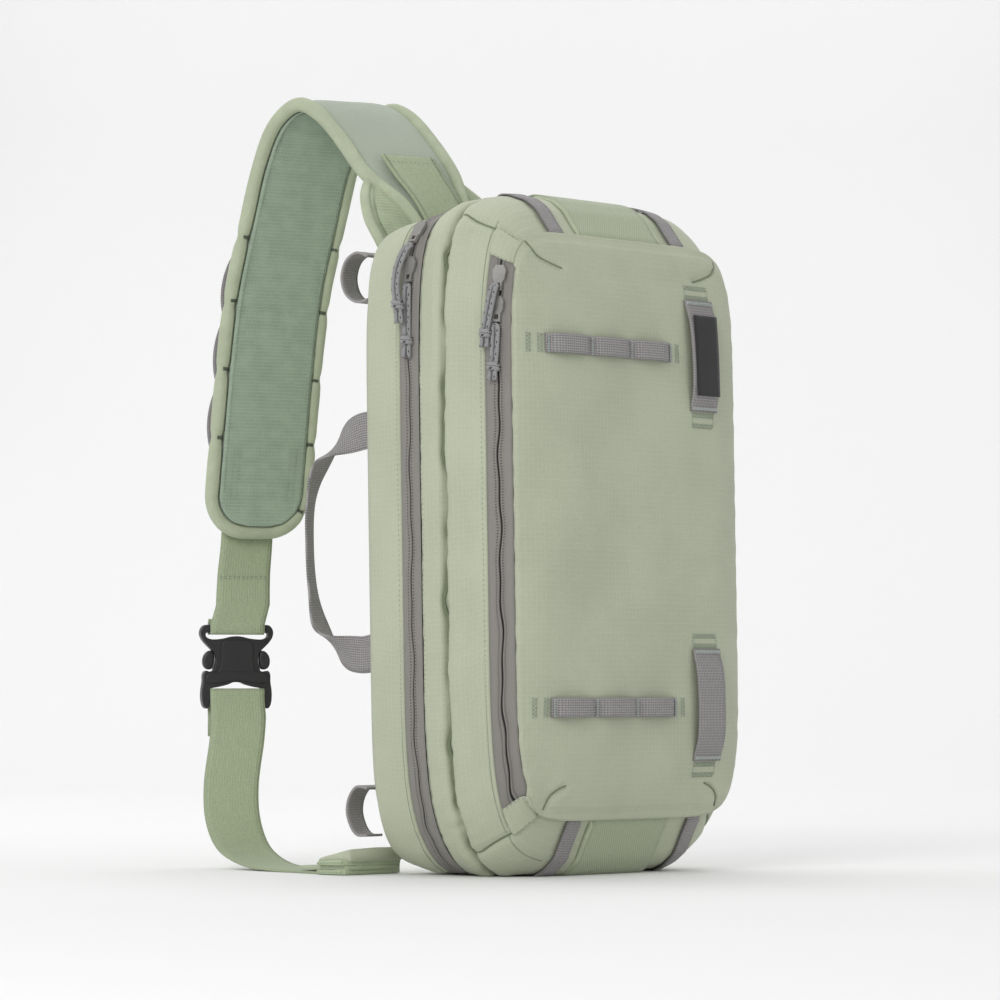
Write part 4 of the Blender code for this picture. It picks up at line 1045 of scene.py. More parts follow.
def front_strip(name, start, end, cells, width, rise, foot, upright, middle):
    """Webbing tacked flat to the front panel between open cells."""
    rows, places = [], []
    length = (end - start) / cells
    for cell in range(cells):
        steps = np.linspace(0, 1, 25)
        for share in steps[:-1] if cell < cells - 1 else steps:
            inner = np.clip((share * length - foot) / (length - 2 * foot), 0, 1)
            lift = rise * (1 - abs(2 * inner - 1) ** 4) + LAID_GAP
            along = start + (cell + share) * length
            over = np.linspace(-width / 2, width / 2, 7)
            if upright:
                rows.append(on_front(middle + over, np.full(7, along), lift))
            else:
                rows.append(on_front(np.full(7, along), middle + over[::-1], lift))
            places.append(np.stack([np.full(7, along), over], -1))
    piece = grid_piece(f"{name}_webbing", rows, places, grey_webbing, WEBBING_THICK * 0.8, offset=1.0)
    return join_in(piece, [name])


def bartack(lines, centre, direction, off, width, rows=5, length=0.0012):
    """A block of dense thread across webbing."""
    direction, off = unit(np.asarray(direction, float)), unit(np.asarray(off, float))
    along = np.cross(off, direction)
    for i in range(rows):
        shift = (i / (rows - 1) - 0.5) * length
        ends = np.linspace(-width / 2, width / 2, 5)[:, None]
        lines.append((centre + direction * ends + along * shift, np.tile(off, (5, 1))))


def cloth_bartack(lines, centre, direction, width, length):
    """Thread in zigzags between two straight rows, sewn through the front cloth."""
    direction = np.asarray(direction, float)
    along = np.cross(FRONT_OFF, direction)
    count = int(width / 0.0011)
    over = np.linspace(-width / 2, width / 2, count)
    zigzag = centre + direction * over[:, None] + along * (length / 2 * (-1.0) ** np.arange(count))[:, None]
    rows = [zigzag] + [centre + direction * over[:, None] + along * side * length / 2 for side in (-1, 1)]
    for row in rows:
        lines.append((settle(row, FRONT_OFF, 0.0001), np.tile(FRONT_OFF, (count, 1))))


def build_front_webbing():
    grey_tacks, green_tacks = [], []
    right = np.array([1.0, 0.0, 0.0])
    up = np.array([0.0, 0.0, 1.0])
    for name, height in CHAIN_HEIGHTS.items():
        front_strip(name, CHAIN_LEFT, CHAIN_LEFT + 3 * CHAIN_STEP, 3, CHAIN_WIDTH, CHAIN_RISE, 0.004,
                    False, height)
        for cell in range(4):
            side = CHAIN_LEFT + cell * CHAIN_STEP + (0.0015 if cell == 0 else -0.0015 if cell == 3 else 0.0)
            bartack(grey_tacks, on_front([side], [height], WEBBING_THICK + LAID_GAP)[0], up, FRONT_OFF,
                    CHAIN_WIDTH * 0.92)
        for side in (CHAIN_LEFT - 0.0125, CHAIN_LEFT - 0.0035, CHAIN_LEFT + 3 * CHAIN_STEP + 0.0075):
            cloth_bartack(green_tacks, front_face(side, height), up, CHAIN_WIDTH, 0.0030)
    for name, (low, high) in LOOP_SPANS.items():
        front_strip(name, low, high, 1, LOOP_WIDTH, LOOP_RISE, 0.005, True, LOOP_SIDE_OFFSET)
        for z in (low - 0.0095, low - 0.0025, high + 0.0020, high + 0.0085):
            cloth_bartack(green_tacks, front_face(LOOP_SIDE_OFFSET, z), right, 0.024, 0.0026)
        for side in (-0.012, 0.012):
            for start, end in ((low - 0.0095, low), (high, high + 0.0085)):
                edge = front_face(LOOP_SIDE_OFFSET + side, np.linspace(start, end, 5))
                green_tacks.append((settle(edge, FRONT_OFF, 0.0001), np.tile(FRONT_OFF, (5, 1))))
        for z in (low + 0.0020, high - 0.0020):
            over = LOOP_SIDE_OFFSET + np.linspace(-LOOP_WIDTH, LOOP_WIDTH, 3) / 2
            bartack(grey_tacks, on_front(over, np.full(3, z), WEBBING_THICK + LAID_GAP)[1], right, FRONT_OFF,
                    LOOP_WIDTH * 0.9)
    join_in(stitches("front_bartacks", grey_tacks, pale_tack, 0.0016, 0.0001, 0.00035, 0.0003))
    join_in(stitches("front_cloth_bartacks", green_tacks, bartack_thread, 0.0014, 0.0003, 0.00028, 0.0001))
    low, high = LOOP_SPANS["upper_vertical_loop"]
    out = LAID_GAP + LOOP_RISE + WEBBING_THICK * 0.8 + 0.0004
    rows, places = [], []
    for z in np.linspace((low + high) / 2 - LABEL_HEIGHT / 2, (low + high) / 2 + LABEL_HEIGHT / 2, 24):
        over = np.linspace(-LABEL_WIDTH / 2, LABEL_WIDTH / 2, 9)
        rows.append(on_front(LOOP_SIDE_OFFSET + over, np.full(9, z), out))
        places.append(np.stack([np.full(9, z), over], -1))
    join_in(grid_piece("plain_label_cloth", rows, places, black_label, 0.0008, offset=1.0),
            ["plain_label"])


# The zipper's end tabs: corners as (turn, depth), from the end that lies on the zipper.
TAB_CORNERS = {
    "front_zip_tab_top": ((0.3955, 0.855), (0.4045, 0.990), (0.4175, 0.848), (0.4228, 0.978)),
    "front_zip_tab_bottom": ((0.1005, 0.862), (0.0835, 0.990), (0.0790, 0.862), (0.0695, 0.962)),
}


def build_zip_tabs():
    lines = []
    count, columns = 16, 18
    for name, corners in TAB_CORNERS.items():
        corners = np.array(corners)
        down, over = np.meshgrid(edged(count), edged(columns), indexing="ij")
        place = sum(corners[i] * share[..., None] for i, share in enumerate(
            ((1 - down) * (1 - over), (1 - down) * over, down * (1 - over), down * over)))
        turn, depth = place[..., 0], place[..., 1]
        rows, off = skin(turn, depth), skin_off(turn, depth)
        edge = np.minimum(np.minimum(down * 0.022, over * 0.016), (1 - over) * 0.016)
        rows = settle(rows, off, 0.0)
        flat = skin(turn, depth)
        rise = np.maximum(np.sum((rows - flat) * off, -1), 0.0) + 0.0011 - 0.7 * hem_roll(edge, 0.0010)
        rows = flat + off * rise[..., None]
        if name.endswith("bottom"):
            rows, turn, depth = rows[::-1], turn[::-1], depth[::-1]
        places = np.stack([turn * ROUND_WAY, depth * GUSSET_DEPTH], -1)
        # The tabs wear the brighter ripstop copy, as painted light.
        join_in(grid_piece(f"{name}_cloth", rows, places, sage_painted_lit, 0.0007), [name])
        for share in (0.10, 0.95):
            row = int(round(share * (count - 1)))
            row = count - 1 - row if name.endswith("bottom") else row
            lines.append((rows[row, 1:-1] + off[0, 0] * 0.0001, np.tile(off[0, 0], (columns - 2, 1))))
    join_in(stitches("zip_tab_stitches", lines, tack_thread))


def build_body_stitches():
    """Topstitching beside the zippers and in from the body's seams."""
    lines = []
    turn = np.linspace(MAIN_ZIP_START, MAIN_ZIP_END, 240)
    beside = HALF_MAIN + 0.0030 / GUSSET_DEPTH
    for depth in (MAIN_ZIP_DEPTH - beside, MAIN_ZIP_DEPTH + beside):
        off = skin_off(turn, np.full(240, depth))
        lines.append((settle(skin(turn, depth), off), off))
    low = turn_at_height(FRONT_ZIP_LOW - 0.016, FRONT_ZIP_DEPTH)
    high = turn_at_height(FRONT_ZIP_HIGH + 0.012, FRONT_ZIP_DEPTH)
    turn = np.linspace(low, high, 160)
    off = skin_off(turn, np.full(160, FRONT_ZIP_BACK - 0.0030 / GUSSET_DEPTH))
    lines.append((settle(skin(turn, FRONT_ZIP_BACK - 0.0030 / GUSSET_DEPTH), off), off))
    join_in(stitches("body_topstitching", lines, tack_thread, 0.0021, 0.0012, 0.00024))


def build_seams():
    """Dark tubes at the bottom of the seams, as painted shadow for their folds, and the stitches beside them.
    """
    lines = []
    for i, line in enumerate(CORNER_SEAMS):
        off = unit(line - np.array([0.0, 0.03, BAG_HEIGHT / 2]))
        on_cloth = settle(line, off, -0.0002)
        on_cloth[1:-1] = (on_cloth[:-2] + on_cloth[1:-1] + on_cloth[2:]) / 3
        # Painted shadow along each corner seam.
        join_in(tube_piece(f"corner_seam_shadow_{i + 1}", on_cloth, 0.0008, seam_shadow, 6))
        shift = np.array([0.0, 0.0, -0.0030 if line[0, 2] > BAG_HEIGHT / 2 else 0.0030])
        lines.append((settle(line + shift, off)[6:-2], off[6:-2]))
    turn = np.linspace(0.0, 1.0, 500)
    line = skin(turn, SEAM_DEPTH + seam_sway(turn), -0.0024)
    # Painted shadow along the deep seam.
    join_in(tube_piece("deep_seam_shadow", line, 0.0017, seam_shadow, 6))
    join_in(stitches("corner_topstitching", lines, thread))


def build_side_pocket():
    low, high = turn_at_height(0.088, 0.5, 1), turn_at_height(0.362, 0.5, 1)
    up, across = np.meshgrid(np.linspace(0, 1, 90), np.linspace(0, 1, 46), indexing="ij")
    swell = np.sin(math.pi * across) ** 0.6
    foot = np.minimum(1.0, up * 5) ** 0.5
    turn = low + (high - low) * up
    depth = 0.17 + 0.68 * across
    gathers = 0.0012 * np.sin(across * 2 * math.pi * 6.5 + 2 * soft_noise(skin(turn, depth), 0.05, 61))
    gathers = gathers * np.exp(-(1 - up) / 0.16) + gathers * np.exp(-up / 0.10)
    drawn_in = BAG_WIDTH / 2 * (1 - section(depth)[0])
    out = (SIDE_POCKET_GAP + (SIDE_POCKET_BULGE + drawn_in + gathers) * swell * foot
           + 0.0006 * swell * soft_noise(skin(turn, depth), 0.045, 62))
    rows = skin(turn, depth, np.maximum(out, 0.0012))
    places = np.stack([turn * ROUND_WAY, depth * GUSSET_DEPTH], -1)
    piece = grid_piece("side_pocket_cloth", rows[:, ::-1], places[:, ::-1], sage_ripstop, 0.0013, offset=1.0)
    join_in(piece, ["side_pocket"])
    hem = tube_piece("side_pocket_hem", rows[0], 0.0016, binding_cloth, 6)
    join_in(hem)


# The shoulder strap


def frames_of(places):
    points = places[:, :3]
    ahead = unit(np.gradient(points, axis=0))
    angle = np.radians(places[:, 3])
    across = np.stack([np.cos(angle), np.sin(angle), 0 * angle], -1)
    away = unit(np.cross(across, ahead))
    return points, across, away


def strap_place(row):
    across, behind, height, angle = row
    return (across * BAG_WIDTH, BACK_EDGE_Y + behind * STRAP_REACH, height * STRAP_TOP, angle)


def stretch(route, start, end, count):
    """Frames of a route between two distances along it."""
    run = run_along(route[:, :3])
    at = np.linspace(start, end, count)
    points, across, away = (
        np.stack([np.interp(at, run, part[:, k]) for k in range(3)], -1) for part in frames_of(route))
    return points, unit(across), unit(away), at


def spread(points, across, half, over):
    """Rows of places across a strap, at these shares of its half width."""
    return points[:, None] + across[:, None] * (half[:, None] * over)[..., None]


def flat_ribbon(name, frames, half_width, material, nodes, wall=WEBBING_THICK, columns=7,
                ripple=0.0, seed=0):
    points, across, away, run = frames
    half = half_width(run) if callable(half_width) else np.full(len(run), half_width)
    over = np.linspace(-1, 1, columns)
    rows = spread(points, across, half, over)
    if ripple:
        wave = puckers(run[:, None], np.abs(over)[None] * 0, 0.012, ripple, 1.0, seed)
        rows = rows + away[:, None] * (wave * (0.5 + 0.5 * np.cos(over * 2)))[..., None]
    places = np.stack(np.broadcast_arrays(run[:, None], half[:, None] * over[None]), -1)
    piece = grid_piece(name, rows, places, material, wall, offset=0.0)
    return join_in(piece, nodes)


PAD_SIDES = 52


def padded_ribbon(name, frames, half_width, half_thick, material, nodes, quilt, seed):
    """A closed padded strap: crowned faces that draw in to its edges."""
    points, across, away, run = frames
    half = half_width(run)
    turned = np.linspace(0, 2 * math.pi, PAD_SIDES, endpoint=False)
    over = np.sign(np.cos(turned)) * np.abs(np.cos(turned)) ** 0.55
    rise = np.sign(np.sin(turned)) * np.abs(np.sin(turned)) ** 0.75
    flat = spread(points, across, half, over)
    swell = 1 + quilt * soft_noise(flat, 0.05, seed)
    rows = flat + away[:, None] * (half_thick * rise * swell)[..., None]
    count, sides = rows.shape[:2]
    rows = np.concatenate([rows, rows[:, :1]], 1)
    index = np.arange(count * (sides + 1)).reshape(count, sides + 1)
    faces = grid_faces(index).reshape(-1, 4).tolist()
    faces += [index[0, :-1][::-1].tolist(), index[-1, :-1].tolist()]
    over = np.append(over, over[0])
    places = np.stack(np.broadcast_arrays(run[:, None], half[:, None] * over[None]), -1)
    piece = mesh_piece(name, rows.reshape(-1, 3), faces, places.reshape(-1, 2), material)
    join_in(piece, nodes)
    return piece


def rounded_end(run, length, half, radius):
    left = np.clip(length - run, 0.0, radius)
    return half - radius + np.sqrt(np.maximum(radius**2 - (radius - left) ** 2, 0.0))


def eased(value, low, high):
    share = np.clip((value - low) / (high - low), 0, 1)
    return share * share * (3 - 2 * share)


def raised(frames, lift):
    points, across, away, run = frames
    return points + away * np.broadcast_to(lift, run.shape)[:, None], across, away, run


def yoke_half(run):
    share = run / YOKE_LENGTH
    return YOKE_WIDTH / 2 - YOKE_TAPER * share**3 - 0.024 * np.clip((share - 0.60) / 0.40, 0, 1) ** 1.5


def strap_edge(run):
    """Half the width to the binding's middle. The strap draws in where it is sewn to the yoke."""
    return 0.0215 + (PAD_WIDTH / 2 - BINDING_RADIUS - 0.0215) * eased(run, 0.058, 0.118)


def strap_lift(run):
    return 0.0050 * (1 - eased(run, 0.078, 0.118))


# The binding's roll: its steps, and the first tack along each of its sides
ROLL_PITCH = 0.0030
LEFT_TACK = 0.2441
RIGHT_TACK = 0.2313


def build_shoulder_strap():
    route = smooth_line([strap_place(row) for row in STRAP_ROUTE], 6)
    whole = float(np.linalg.norm(np.diff(route[:, :3], axis=0), axis=1).sum())
    yoke = stretch(route, 0.0, YOKE_LENGTH, 40)
    padded_ribbon("strap_yoke", yoke, yoke_half, PAD_THICK / 2, binding_cloth,
                  ["strap_base"], quilt=0.05, seed=71)
    points, across, away, run = yoke
    for side in (-1, 1):
        line = points + across * (side * yoke_half(run))[:, None]
        edge_name = f"yoke_binding_{'left' if side < 0 else 'right'}"
        join_in(tube_piece(edge_name, line[:-2], 0.0036, binding_cloth, 10))
    flat_ribbon("yoke_mesh", raised(stretch(route, 0.010, 0.098, 30), PAD_THICK / 2 + 0.0009),
                lambda run: yoke_half(run) - 0.0045, yoke_mesh, [], wall=0.0006, columns=15)
    bottom = whole - 2 * BINDING_RADIUS - BINDING_GAP
    pad_end = bottom + 0.003

    def shape(run):
        inside = BINDING_RADIUS - 0.001
        end = rounded_end(run, pad_end, PAD_WIDTH / 2 - BINDING_RADIUS - inside, PAD_CORNER + 0.003)
        return np.minimum(strap_edge(run) - inside, end)

    pad = stretch(route, 0.062, pad_end, 210)
    pad = raised(pad, strap_lift(pad[3]))
    padded_ribbon("strap_padding", pad, shape, PAD_THICK / 2, strap_cloth, ["strap_pad"],
                  quilt=0.06, seed=72)
    flat_ribbon("strap_lining_cloth", raised(pad, -(PAD_THICK / 2 + 0.0004)), shape, lining_cloth,
                ["strap_lining"], wall=0.0006, columns=25, ripple=0.00055, seed=73)

    points, across, away, run = stretch(route, 0.060, bottom - PAD_CORNER, 170)
    points = points + away * strap_lift(run)[:, None]
    edge = strap_edge(run)[:, None]
    radius = PAD_CORNER + BINDING_RADIUS + BINDING_GAP
    end_point, _, _, _ = stretch(route, whole - 0.001, whole, 2)
    down = unit(end_point[-1] - points[-1])
    lines = {side: points + across * side * edge for side in (-1, 1)}
    corner = {}
    for side in (-1, 1):
        angles = np.radians(np.linspace(6, 90, 15))[:, None]
        corner[side] = (points[-1] + across[-1] * side * (edge[-1] - radius + radius * np.cos(angles))
                        + down * radius * np.sin(angles))
    line = np.concatenate([lines[-1], corner[-1], corner[1][::-1], lines[1][::-1]])
    line = even_line(line, ROLL_PITCH)
    length = np.arange(len(line)) * ROLL_PITCH
    last_tack = length[-1] / 2 - 0.045
    left_tacks = np.arange(LEFT_TACK, last_tack, TACK_STEP)
    tack_places = np.concatenate([left_tacks, length[-1] - np.arange(RIGHT_TACK, last_tack, TACK_STEP)])
    pinch = sum(np.exp(-(((length - place) / 0.0042) ** 2)) for place in tack_places)
    between = np.sin((length - left_tacks[0]) * math.pi / TACK_STEP) ** 2
    swell = BINDING_RADIUS * (0.97 - 0.22 * pinch + 0.05 * between)
    piece = tube_piece("strap_binding_roll", line, swell, binding_cloth, 16)
    join_in(piece, ["strap_binding"])
    tacks, edges = [], []
    for place in tack_places:
        i = int(place / ROLL_PITCH)
        ahead = unit(line[i + 1] - line[i])
        near = np.argmin(np.linalg.norm(points - line[i], axis=1))
        off = -away[near]
        side = unit(points[near] - line[i])
        for step in np.linspace(-0.0009, 0.0009, 4):
            turned = np.radians(np.linspace(-15, 70, 7))[:, None]
            direction = off * np.cos(turned) + side * np.sin(turned)
            tacks.append((line[i] + ahead * step + direction * BINDING_RADIUS * 0.80, direction))
    join_in(stitches("binding_tacks", tacks, tack_thread, 0.0012, 0.0001, 0.0003, 0.0002))
    lining_edge = raised(stretch(route, 0.130, bottom - PAD_CORNER, 200), -(PAD_THICK / 2 + 0.0015))
    for side in (-1, 1):
        edges.append((lining_edge[0] + lining_edge[1] * side * (PAD_WIDTH / 2 - 2 * BINDING_RADIUS - 0.0012),
                      -lining_edge[2]))
    at, right, off, _ = stretch(route, bottom - 0.052, bottom - 0.016, 20)
    for over in (-0.0235, -0.0190, 0.0190, 0.0235):
        edges.append((at + right * over - off * (PAD_THICK / 2 + 0.0015), -off))
    join_in(stitches("lining_stitches", edges, bartack_thread, 0.0019, 0.0009, 0.00025))

    lift = PAD_THICK / 2 + STRAP_GAP + WEBBING_THICK / 2
    anchor = stretch(route, ANCHOR_START - 0.006, ANCHOR_END + 0.002, 44)
    anchor = raised(anchor, lift + 0.0052 - 0.0022 * eased(anchor[3], 0.09, 0.12))
    flat_ribbon("strap_anchor_webbing", anchor, STRAP_WEBBING / 2 + 0.001, green_webbing,
                ["strap_anchor"], wall=WEBBING_THICK)
    cells = len(OUTER_CELL_RISES)
    count = cells * 30 + 1
    points, across, away, run = stretch(
        route, OUTER_CHAIN_START, OUTER_CHAIN_START + cells * TACK_STEP, count)
    cell = np.minimum(np.arange(count) // 30, cells - 1)
    rise = np.array(OUTER_CELL_RISES)[cell] * np.abs(np.sin(math.pi * np.arange(count) / 30)) ** 0.7
    over = np.linspace(-1, 1, 7)
    shifted = (OUTER_CHAIN_SHIFT + over * OUTER_CHAIN_WIDTH / 2)[None, :, None]
    rows = points[:, None] + across[:, None] * shifted + away[:, None] * (lift + rise)[:, None, None]
    places = np.stack(np.broadcast_arrays(run[:, None], (over * OUTER_CHAIN_WIDTH / 2)[None]), -1)
    piece = grid_piece("strap_daisy_chain_webbing", rows, places, grey_webbing, WEBBING_THICK, offset=0.0)
    join_in(piece, ["strap_daisy_chain"])

    lines = []
    for i in (3, 5, -4):
        over = np.linspace(-0.92, 0.92, 10)[:, None] * STRAP_WEBBING / 2
        lines.append((anchor[0][i] + anchor[1][i] * over + anchor[2][i] * WEBBING_THICK / 2,
                      np.tile(anchor[2][i], (10, 1))))
    for side in (-1, 1):
        inset = side * (STRAP_WEBBING / 2 - 0.0015)
        lines.append((anchor[0] + anchor[1] * inset + anchor[2] * WEBBING_THICK / 2, anchor[2]))
    join_in(stitches("anchor_stitches", lines, bartack_thread))


def buckle_place(right, up, away=0.0):
    centre = np.array(strap_place(BUCKLE_PLACE)[:3])
    angle = math.radians(BUCKLE_PLACE[3])
    across = np.array([math.cos(angle), math.sin(angle), 0.0])
    front = np.array([math.sin(angle), -math.cos(angle), 0.0])
    return centre + across * right + np.array([0, 0, up]) + front * away


def wrap_round(bar_low, bar_high, from_below):
    stand = BUCKLE_THICK / 2 + LAID_GAP + WEBBING_THICK / 2
    near = LAID_GAP + WEBBING_THICK / 2
    edge, past, sign = (bar_high, bar_low, 1) if from_below else (bar_low, bar_high, -1)
    steps = [(past, stand), (edge + sign * LAID_GAP / 2, stand), (edge + sign * near, stand - near),
             (edge + sign * near, near - stand), (edge + sign * LAID_GAP / 2, -stand), (past, -stand)]
    return [(*buckle_place(0.0, up, away), BUCKLE_PLACE[3]) for up, away in steps]


def build_strap_webbing():
    size, turned = BUCKLE_WIDTH, BUCKLE_PLACE[3]
    close = WEBBING_THICK / 2 + LAID_GAP / 2
    jobs = []
    bar_low, bar_high = UPPER_BAR[0] * size, UPPER_BAR[1] * size
    places = list(smooth_line([strap_place(row) for row in UPPER_WEBBING], 8))
    places += wrap_round(bar_low, bar_high, False)
    places.append((*buckle_place(0.0, bar_high + 0.004, -close * 2), turned))
    jobs.append(("upper_strap_webbing", places))
    bar_low, bar_high = LOWER_BAR[0] * size, LOWER_BAR[1] * size
    places = list(smooth_line([strap_place(row) for row in LOWER_WEBBING], 10))
    places += wrap_round(bar_low, bar_high, True)
    places.append((*buckle_place(0.0, bar_low - 0.012, -close * 3), turned))
    places.append((*buckle_place(0.0, bar_low - 0.026, -close * 3), turned))
    jobs.append(("lower_strap_webbing", places))
    frames = {"hanging": (len(UPPER_WEBBING) - 1) * 8}
    for name, places in jobs:
        places = np.array(places)
        points, across, away = frames_of(places)
        run = run_along(points)
        frames[name[:5]] = (points, across, away, run)
        flat_ribbon(f"{name}_cloth", (points, across, away, run), STRAP_WEBBING / 2, green_webbing,
                    [name], columns=9)
    lines = []
    for name, share, gap in (("upper", 0.30, 0.0016), ("upper", 0.78, 0.0016)):
        points, across, away, run = frames[name]
        i = int(np.argmin(np.abs(run - run[frames["hanging"]] * share)))
        for step in (0.0, gap):
            over = np.linspace(-0.92, 0.92, 14)[:, None] * STRAP_WEBBING / 2
            row = points[i] + across[i] * over + np.array([0.0, 0.0, step])
            front = -away[i] if away[i][1] > 0 else away[i]
            lines.append((row + front * 0.0010, np.tile(front, (14, 1))))
    join_in(stitches("buckle_stitches", lines, bartack_thread))


UPPER_BAR = (0.415, 0.505)
LOWER_BAR = (-0.535, -0.430)
# The buckle's parts, as right halves of outlines in shares of BUCKLE_WIDTH, from the top down.
BUCKLE_PARTS = {
    "buckle_male_frame": (
        [(0.425, 0.515), (0.480, 0.500), (0.520, 0.440), (0.525, 0.370), (0.490, 0.290), (0.420, 0.215),
         (0.350, 0.150), (0.305, 0.080), (0.300, -0.010), (0.330, -0.100), (0.350, -0.200), (0.300, -0.260)],
        [[(0.420, 0.405), (0.455, 0.385), (0.440, 0.330), (0.360, 0.300), (0.180, 0.315), (0.060, 0.350)]],
        0.0085, 0.0, ["buckle_male"]),
    "buckle_male_ridge": (
        [(0.100, 0.300), (0.205, 0.285), (0.235, 0.180), (0.225, 0.060), (0.240, -0.080), (0.285, -0.200),
         (0.200, -0.240)], [], 0.0016, 0.0047, []),
    "buckle_female_frame": (
        [(0.300, -0.120), (0.380, -0.160), (0.450, -0.130), (0.485, -0.190), (0.480, -0.300), (0.500, -0.400),
         (0.505, -0.520), (0.485, -0.640), (0.440, -0.680), (0.398, -0.660), (0.392, -0.560),
         (0.360, -0.530)],
        [[(0.060, -0.300), (0.110, -0.330), (0.240, -0.365), (0.375, -0.385), (0.385, -0.415)]],
        0.0092, 0.0, ["buckle_female"]),
    "buckle_female_lip": (
        [(0.330, -0.150), (0.420, -0.180), (0.455, -0.240), (0.445, -0.310), (0.300, -0.325),
         (0.120, -0.285)],
        [], 0.0014, 0.0052, []),
}
BUCKLE_BUTTON = [(0.315, 0.140), (0.400, 0.150), (0.465, 0.090), (0.488, 0.000), (0.470, -0.090),
                 (0.400, -0.130), (0.330, -0.100)]


def moulded_plate(name, outline, holes, thickness, stand, edge):
    """A moulded part with rounded edges, in the buckle's own plane."""
    curve = bpy.data.curves.new(name, "CURVE")
    curve.dimensions = "2D"
    curve.fill_mode = "BOTH"
    curve.extrude = thickness / 2 - edge
    curve.bevel_depth = edge
    curve.bevel_resolution = 3
    curve.offset = -edge
    for loop in (outline, *holes):
        spline = curve.splines.new("POLY")
        spline.points.add(len(loop) - 1)
        for knot, (x, y) in zip(spline.points, loop):
            knot.co = (x * BUCKLE_WIDTH, y * BUCKLE_WIDTH, 0.0, 1.0)
        spline.use_cyclic_u = True
    source = bpy.data.objects.new(f"{name}_outline", curve)
    bpy.context.scene.collection.objects.link(source)
    mesh = bpy.data.meshes.new_from_object(source.evaluated_get(bpy.context.evaluated_depsgraph_get()))
    bpy.data.objects.remove(source, do_unlink=True)
    angle = math.radians(BUCKLE_PLACE[3])
    matrix = Matrix((
        (math.cos(angle), 0.0, math.sin(angle)), (math.sin(angle), 0.0, -math.cos(angle)), (0.0, 1.0, 0.0),
    )).to_4x4()
    matrix.translation = Vector(buckle_place(0.0, 0.0, stand))
    mesh.transform(matrix)
    mesh.shade_smooth()
    mesh.set_sharp_from_angle(angle=math.radians(50))
    mesh.materials.clear()
    mesh.materials.append(black_plastic)
    mesh.name = name
    piece = bpy.data.objects.new(name, mesh)
    bpy.context.scene.collection.objects.link(piece)
    return join_in(piece)


def rounded(points):
    """A closed outline with its corners eased."""
    points = np.array(points, float)
    for _ in range(2):
        ahead = np.roll(points, -1, axis=0)
        points = np.stack([points * 0.75 + ahead * 0.25, points * 0.25 + ahead * 0.75], 1).reshape(-1, 2)
    return points


def build_buckle():
    for name, (half, holes, thickness, stand, nodes) in BUCKLE_PARTS.items():
        whole = [list(loop) + [(-x, y) for x, y in reversed(loop)] for loop in (half, *holes)]
        outline, *inner = [rounded(loop) for loop in whole]
        piece = moulded_plate(name, outline, inner, thickness, stand, 0.0007)
        if nodes:
            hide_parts(*nodes)
    for side in (-1, 1):
        moulded_plate(f"buckle_button_{'left' if side < 0 else 'right'}",
                      rounded([(side * x, y) for x, y in BUCKLE_BUTTON]), [], 0.0066, 0.0, 0.0015)


def build_rear_loops():
    for name, (ends, middle, rows) in REAR_LOOPS.items():
        route = smooth_line([(LOOP_SIDE, BACK_EDGE_Y + behind, height, 0.0) for behind, height in rows], 8)
        points, across, away = frames_of(route)
        run = run_along(points)
        half = (ends + (middle - ends) * np.sin(math.pi * run / run[-1]) ** 2) / 2
        if name == "carry_handle":
            turned = math.pi / 2 * (1 - eased(np.minimum(run, run[-1] - run), 0.010, 0.062))[:, None]
            ahead = unit(np.gradient(points, axis=0))
            plan = np.radians(HANDLE_TURN) * eased(np.minimum(run, run[-1] - run), 0.040, 0.085)
            level = np.stack([np.cos(plan), np.sin(plan), 0 * plan], -1)
            across = level * np.cos(turned) + unit(np.cross(level, ahead)) * np.sin(turned)
            away = unit(np.cross(across, ahead))
        flat_ribbon(f"{name}_webbing", (points, across, away, run), lambda _, half=half: half, grey_webbing,
                    [name])


def soft_block(name, low, high, material, nodes, taper=1.0, seed=0):
    """A folded cloth tab: a box with full edges and a little slackness."""
    low, high = np.array(low), np.array(high)
    turned = np.linspace(0, 2 * math.pi, 33)
    over = np.sign(np.cos(turned)) * np.abs(np.cos(turned)) ** 0.18
    rise = np.sign(np.sin(turned)) * np.abs(np.sin(turned)) ** 0.30
    rows = []
    for s in edged(14):
        squeeze = 1 - 0.10 * (2 * abs(s - 0.5)) ** 8
        height = (high[2] - low[2]) * (1 + (taper - 1) * s)
        x = (low[0] + high[0]) / 2 + over * (high[0] - low[0]) / 2 * squeeze
        z = low[2] + height / 2 + rise * height / 2 * squeeze
        y = np.full_like(x, low[1] + (high[1] - low[1]) * s)
        rows.append(np.stack([x, y, z], -1))
    rows = np.array(rows)
    rows[..., 2] += 0.0006 * soft_noise(rows, 0.02, seed) * (rows[..., 2] > low[2] + 0.002)
    count, sides = rows.shape[:2]
    index = np.arange(count * sides).reshape(count, sides)
    faces = turned_over(grid_faces(index)).reshape(-1, 4).tolist()
    faces += [index[0, :-1].tolist(), index[-1, :-1][::-1].tolist()]
    places = rows[..., [0, 1]].reshape(-1, 2)
    piece = mesh_piece(name, rows.reshape(-1, 3), faces, places, material)
    return join_in(piece, nodes)


WING_LAYERS = [
    # low corner, high corner (both from the back edge), taper, cloth
    ((-0.1345, 0.0075, 0.0000), (-0.0780, 0.0345, 0.0042), 0.9, "dark"),
    ((-0.1325, 0.0070, 0.0030), (-0.0785, 0.0335, 0.0078), 0.8, "mesh"),
    ((-0.1345, 0.0065, 0.0060), (-0.0785, 0.0340, 0.0112), 0.55, "dark"),
    ((-0.1325, 0.0050, 0.0084), (-0.0780, 0.0345, 0.0180), 0.22, "light"),
]


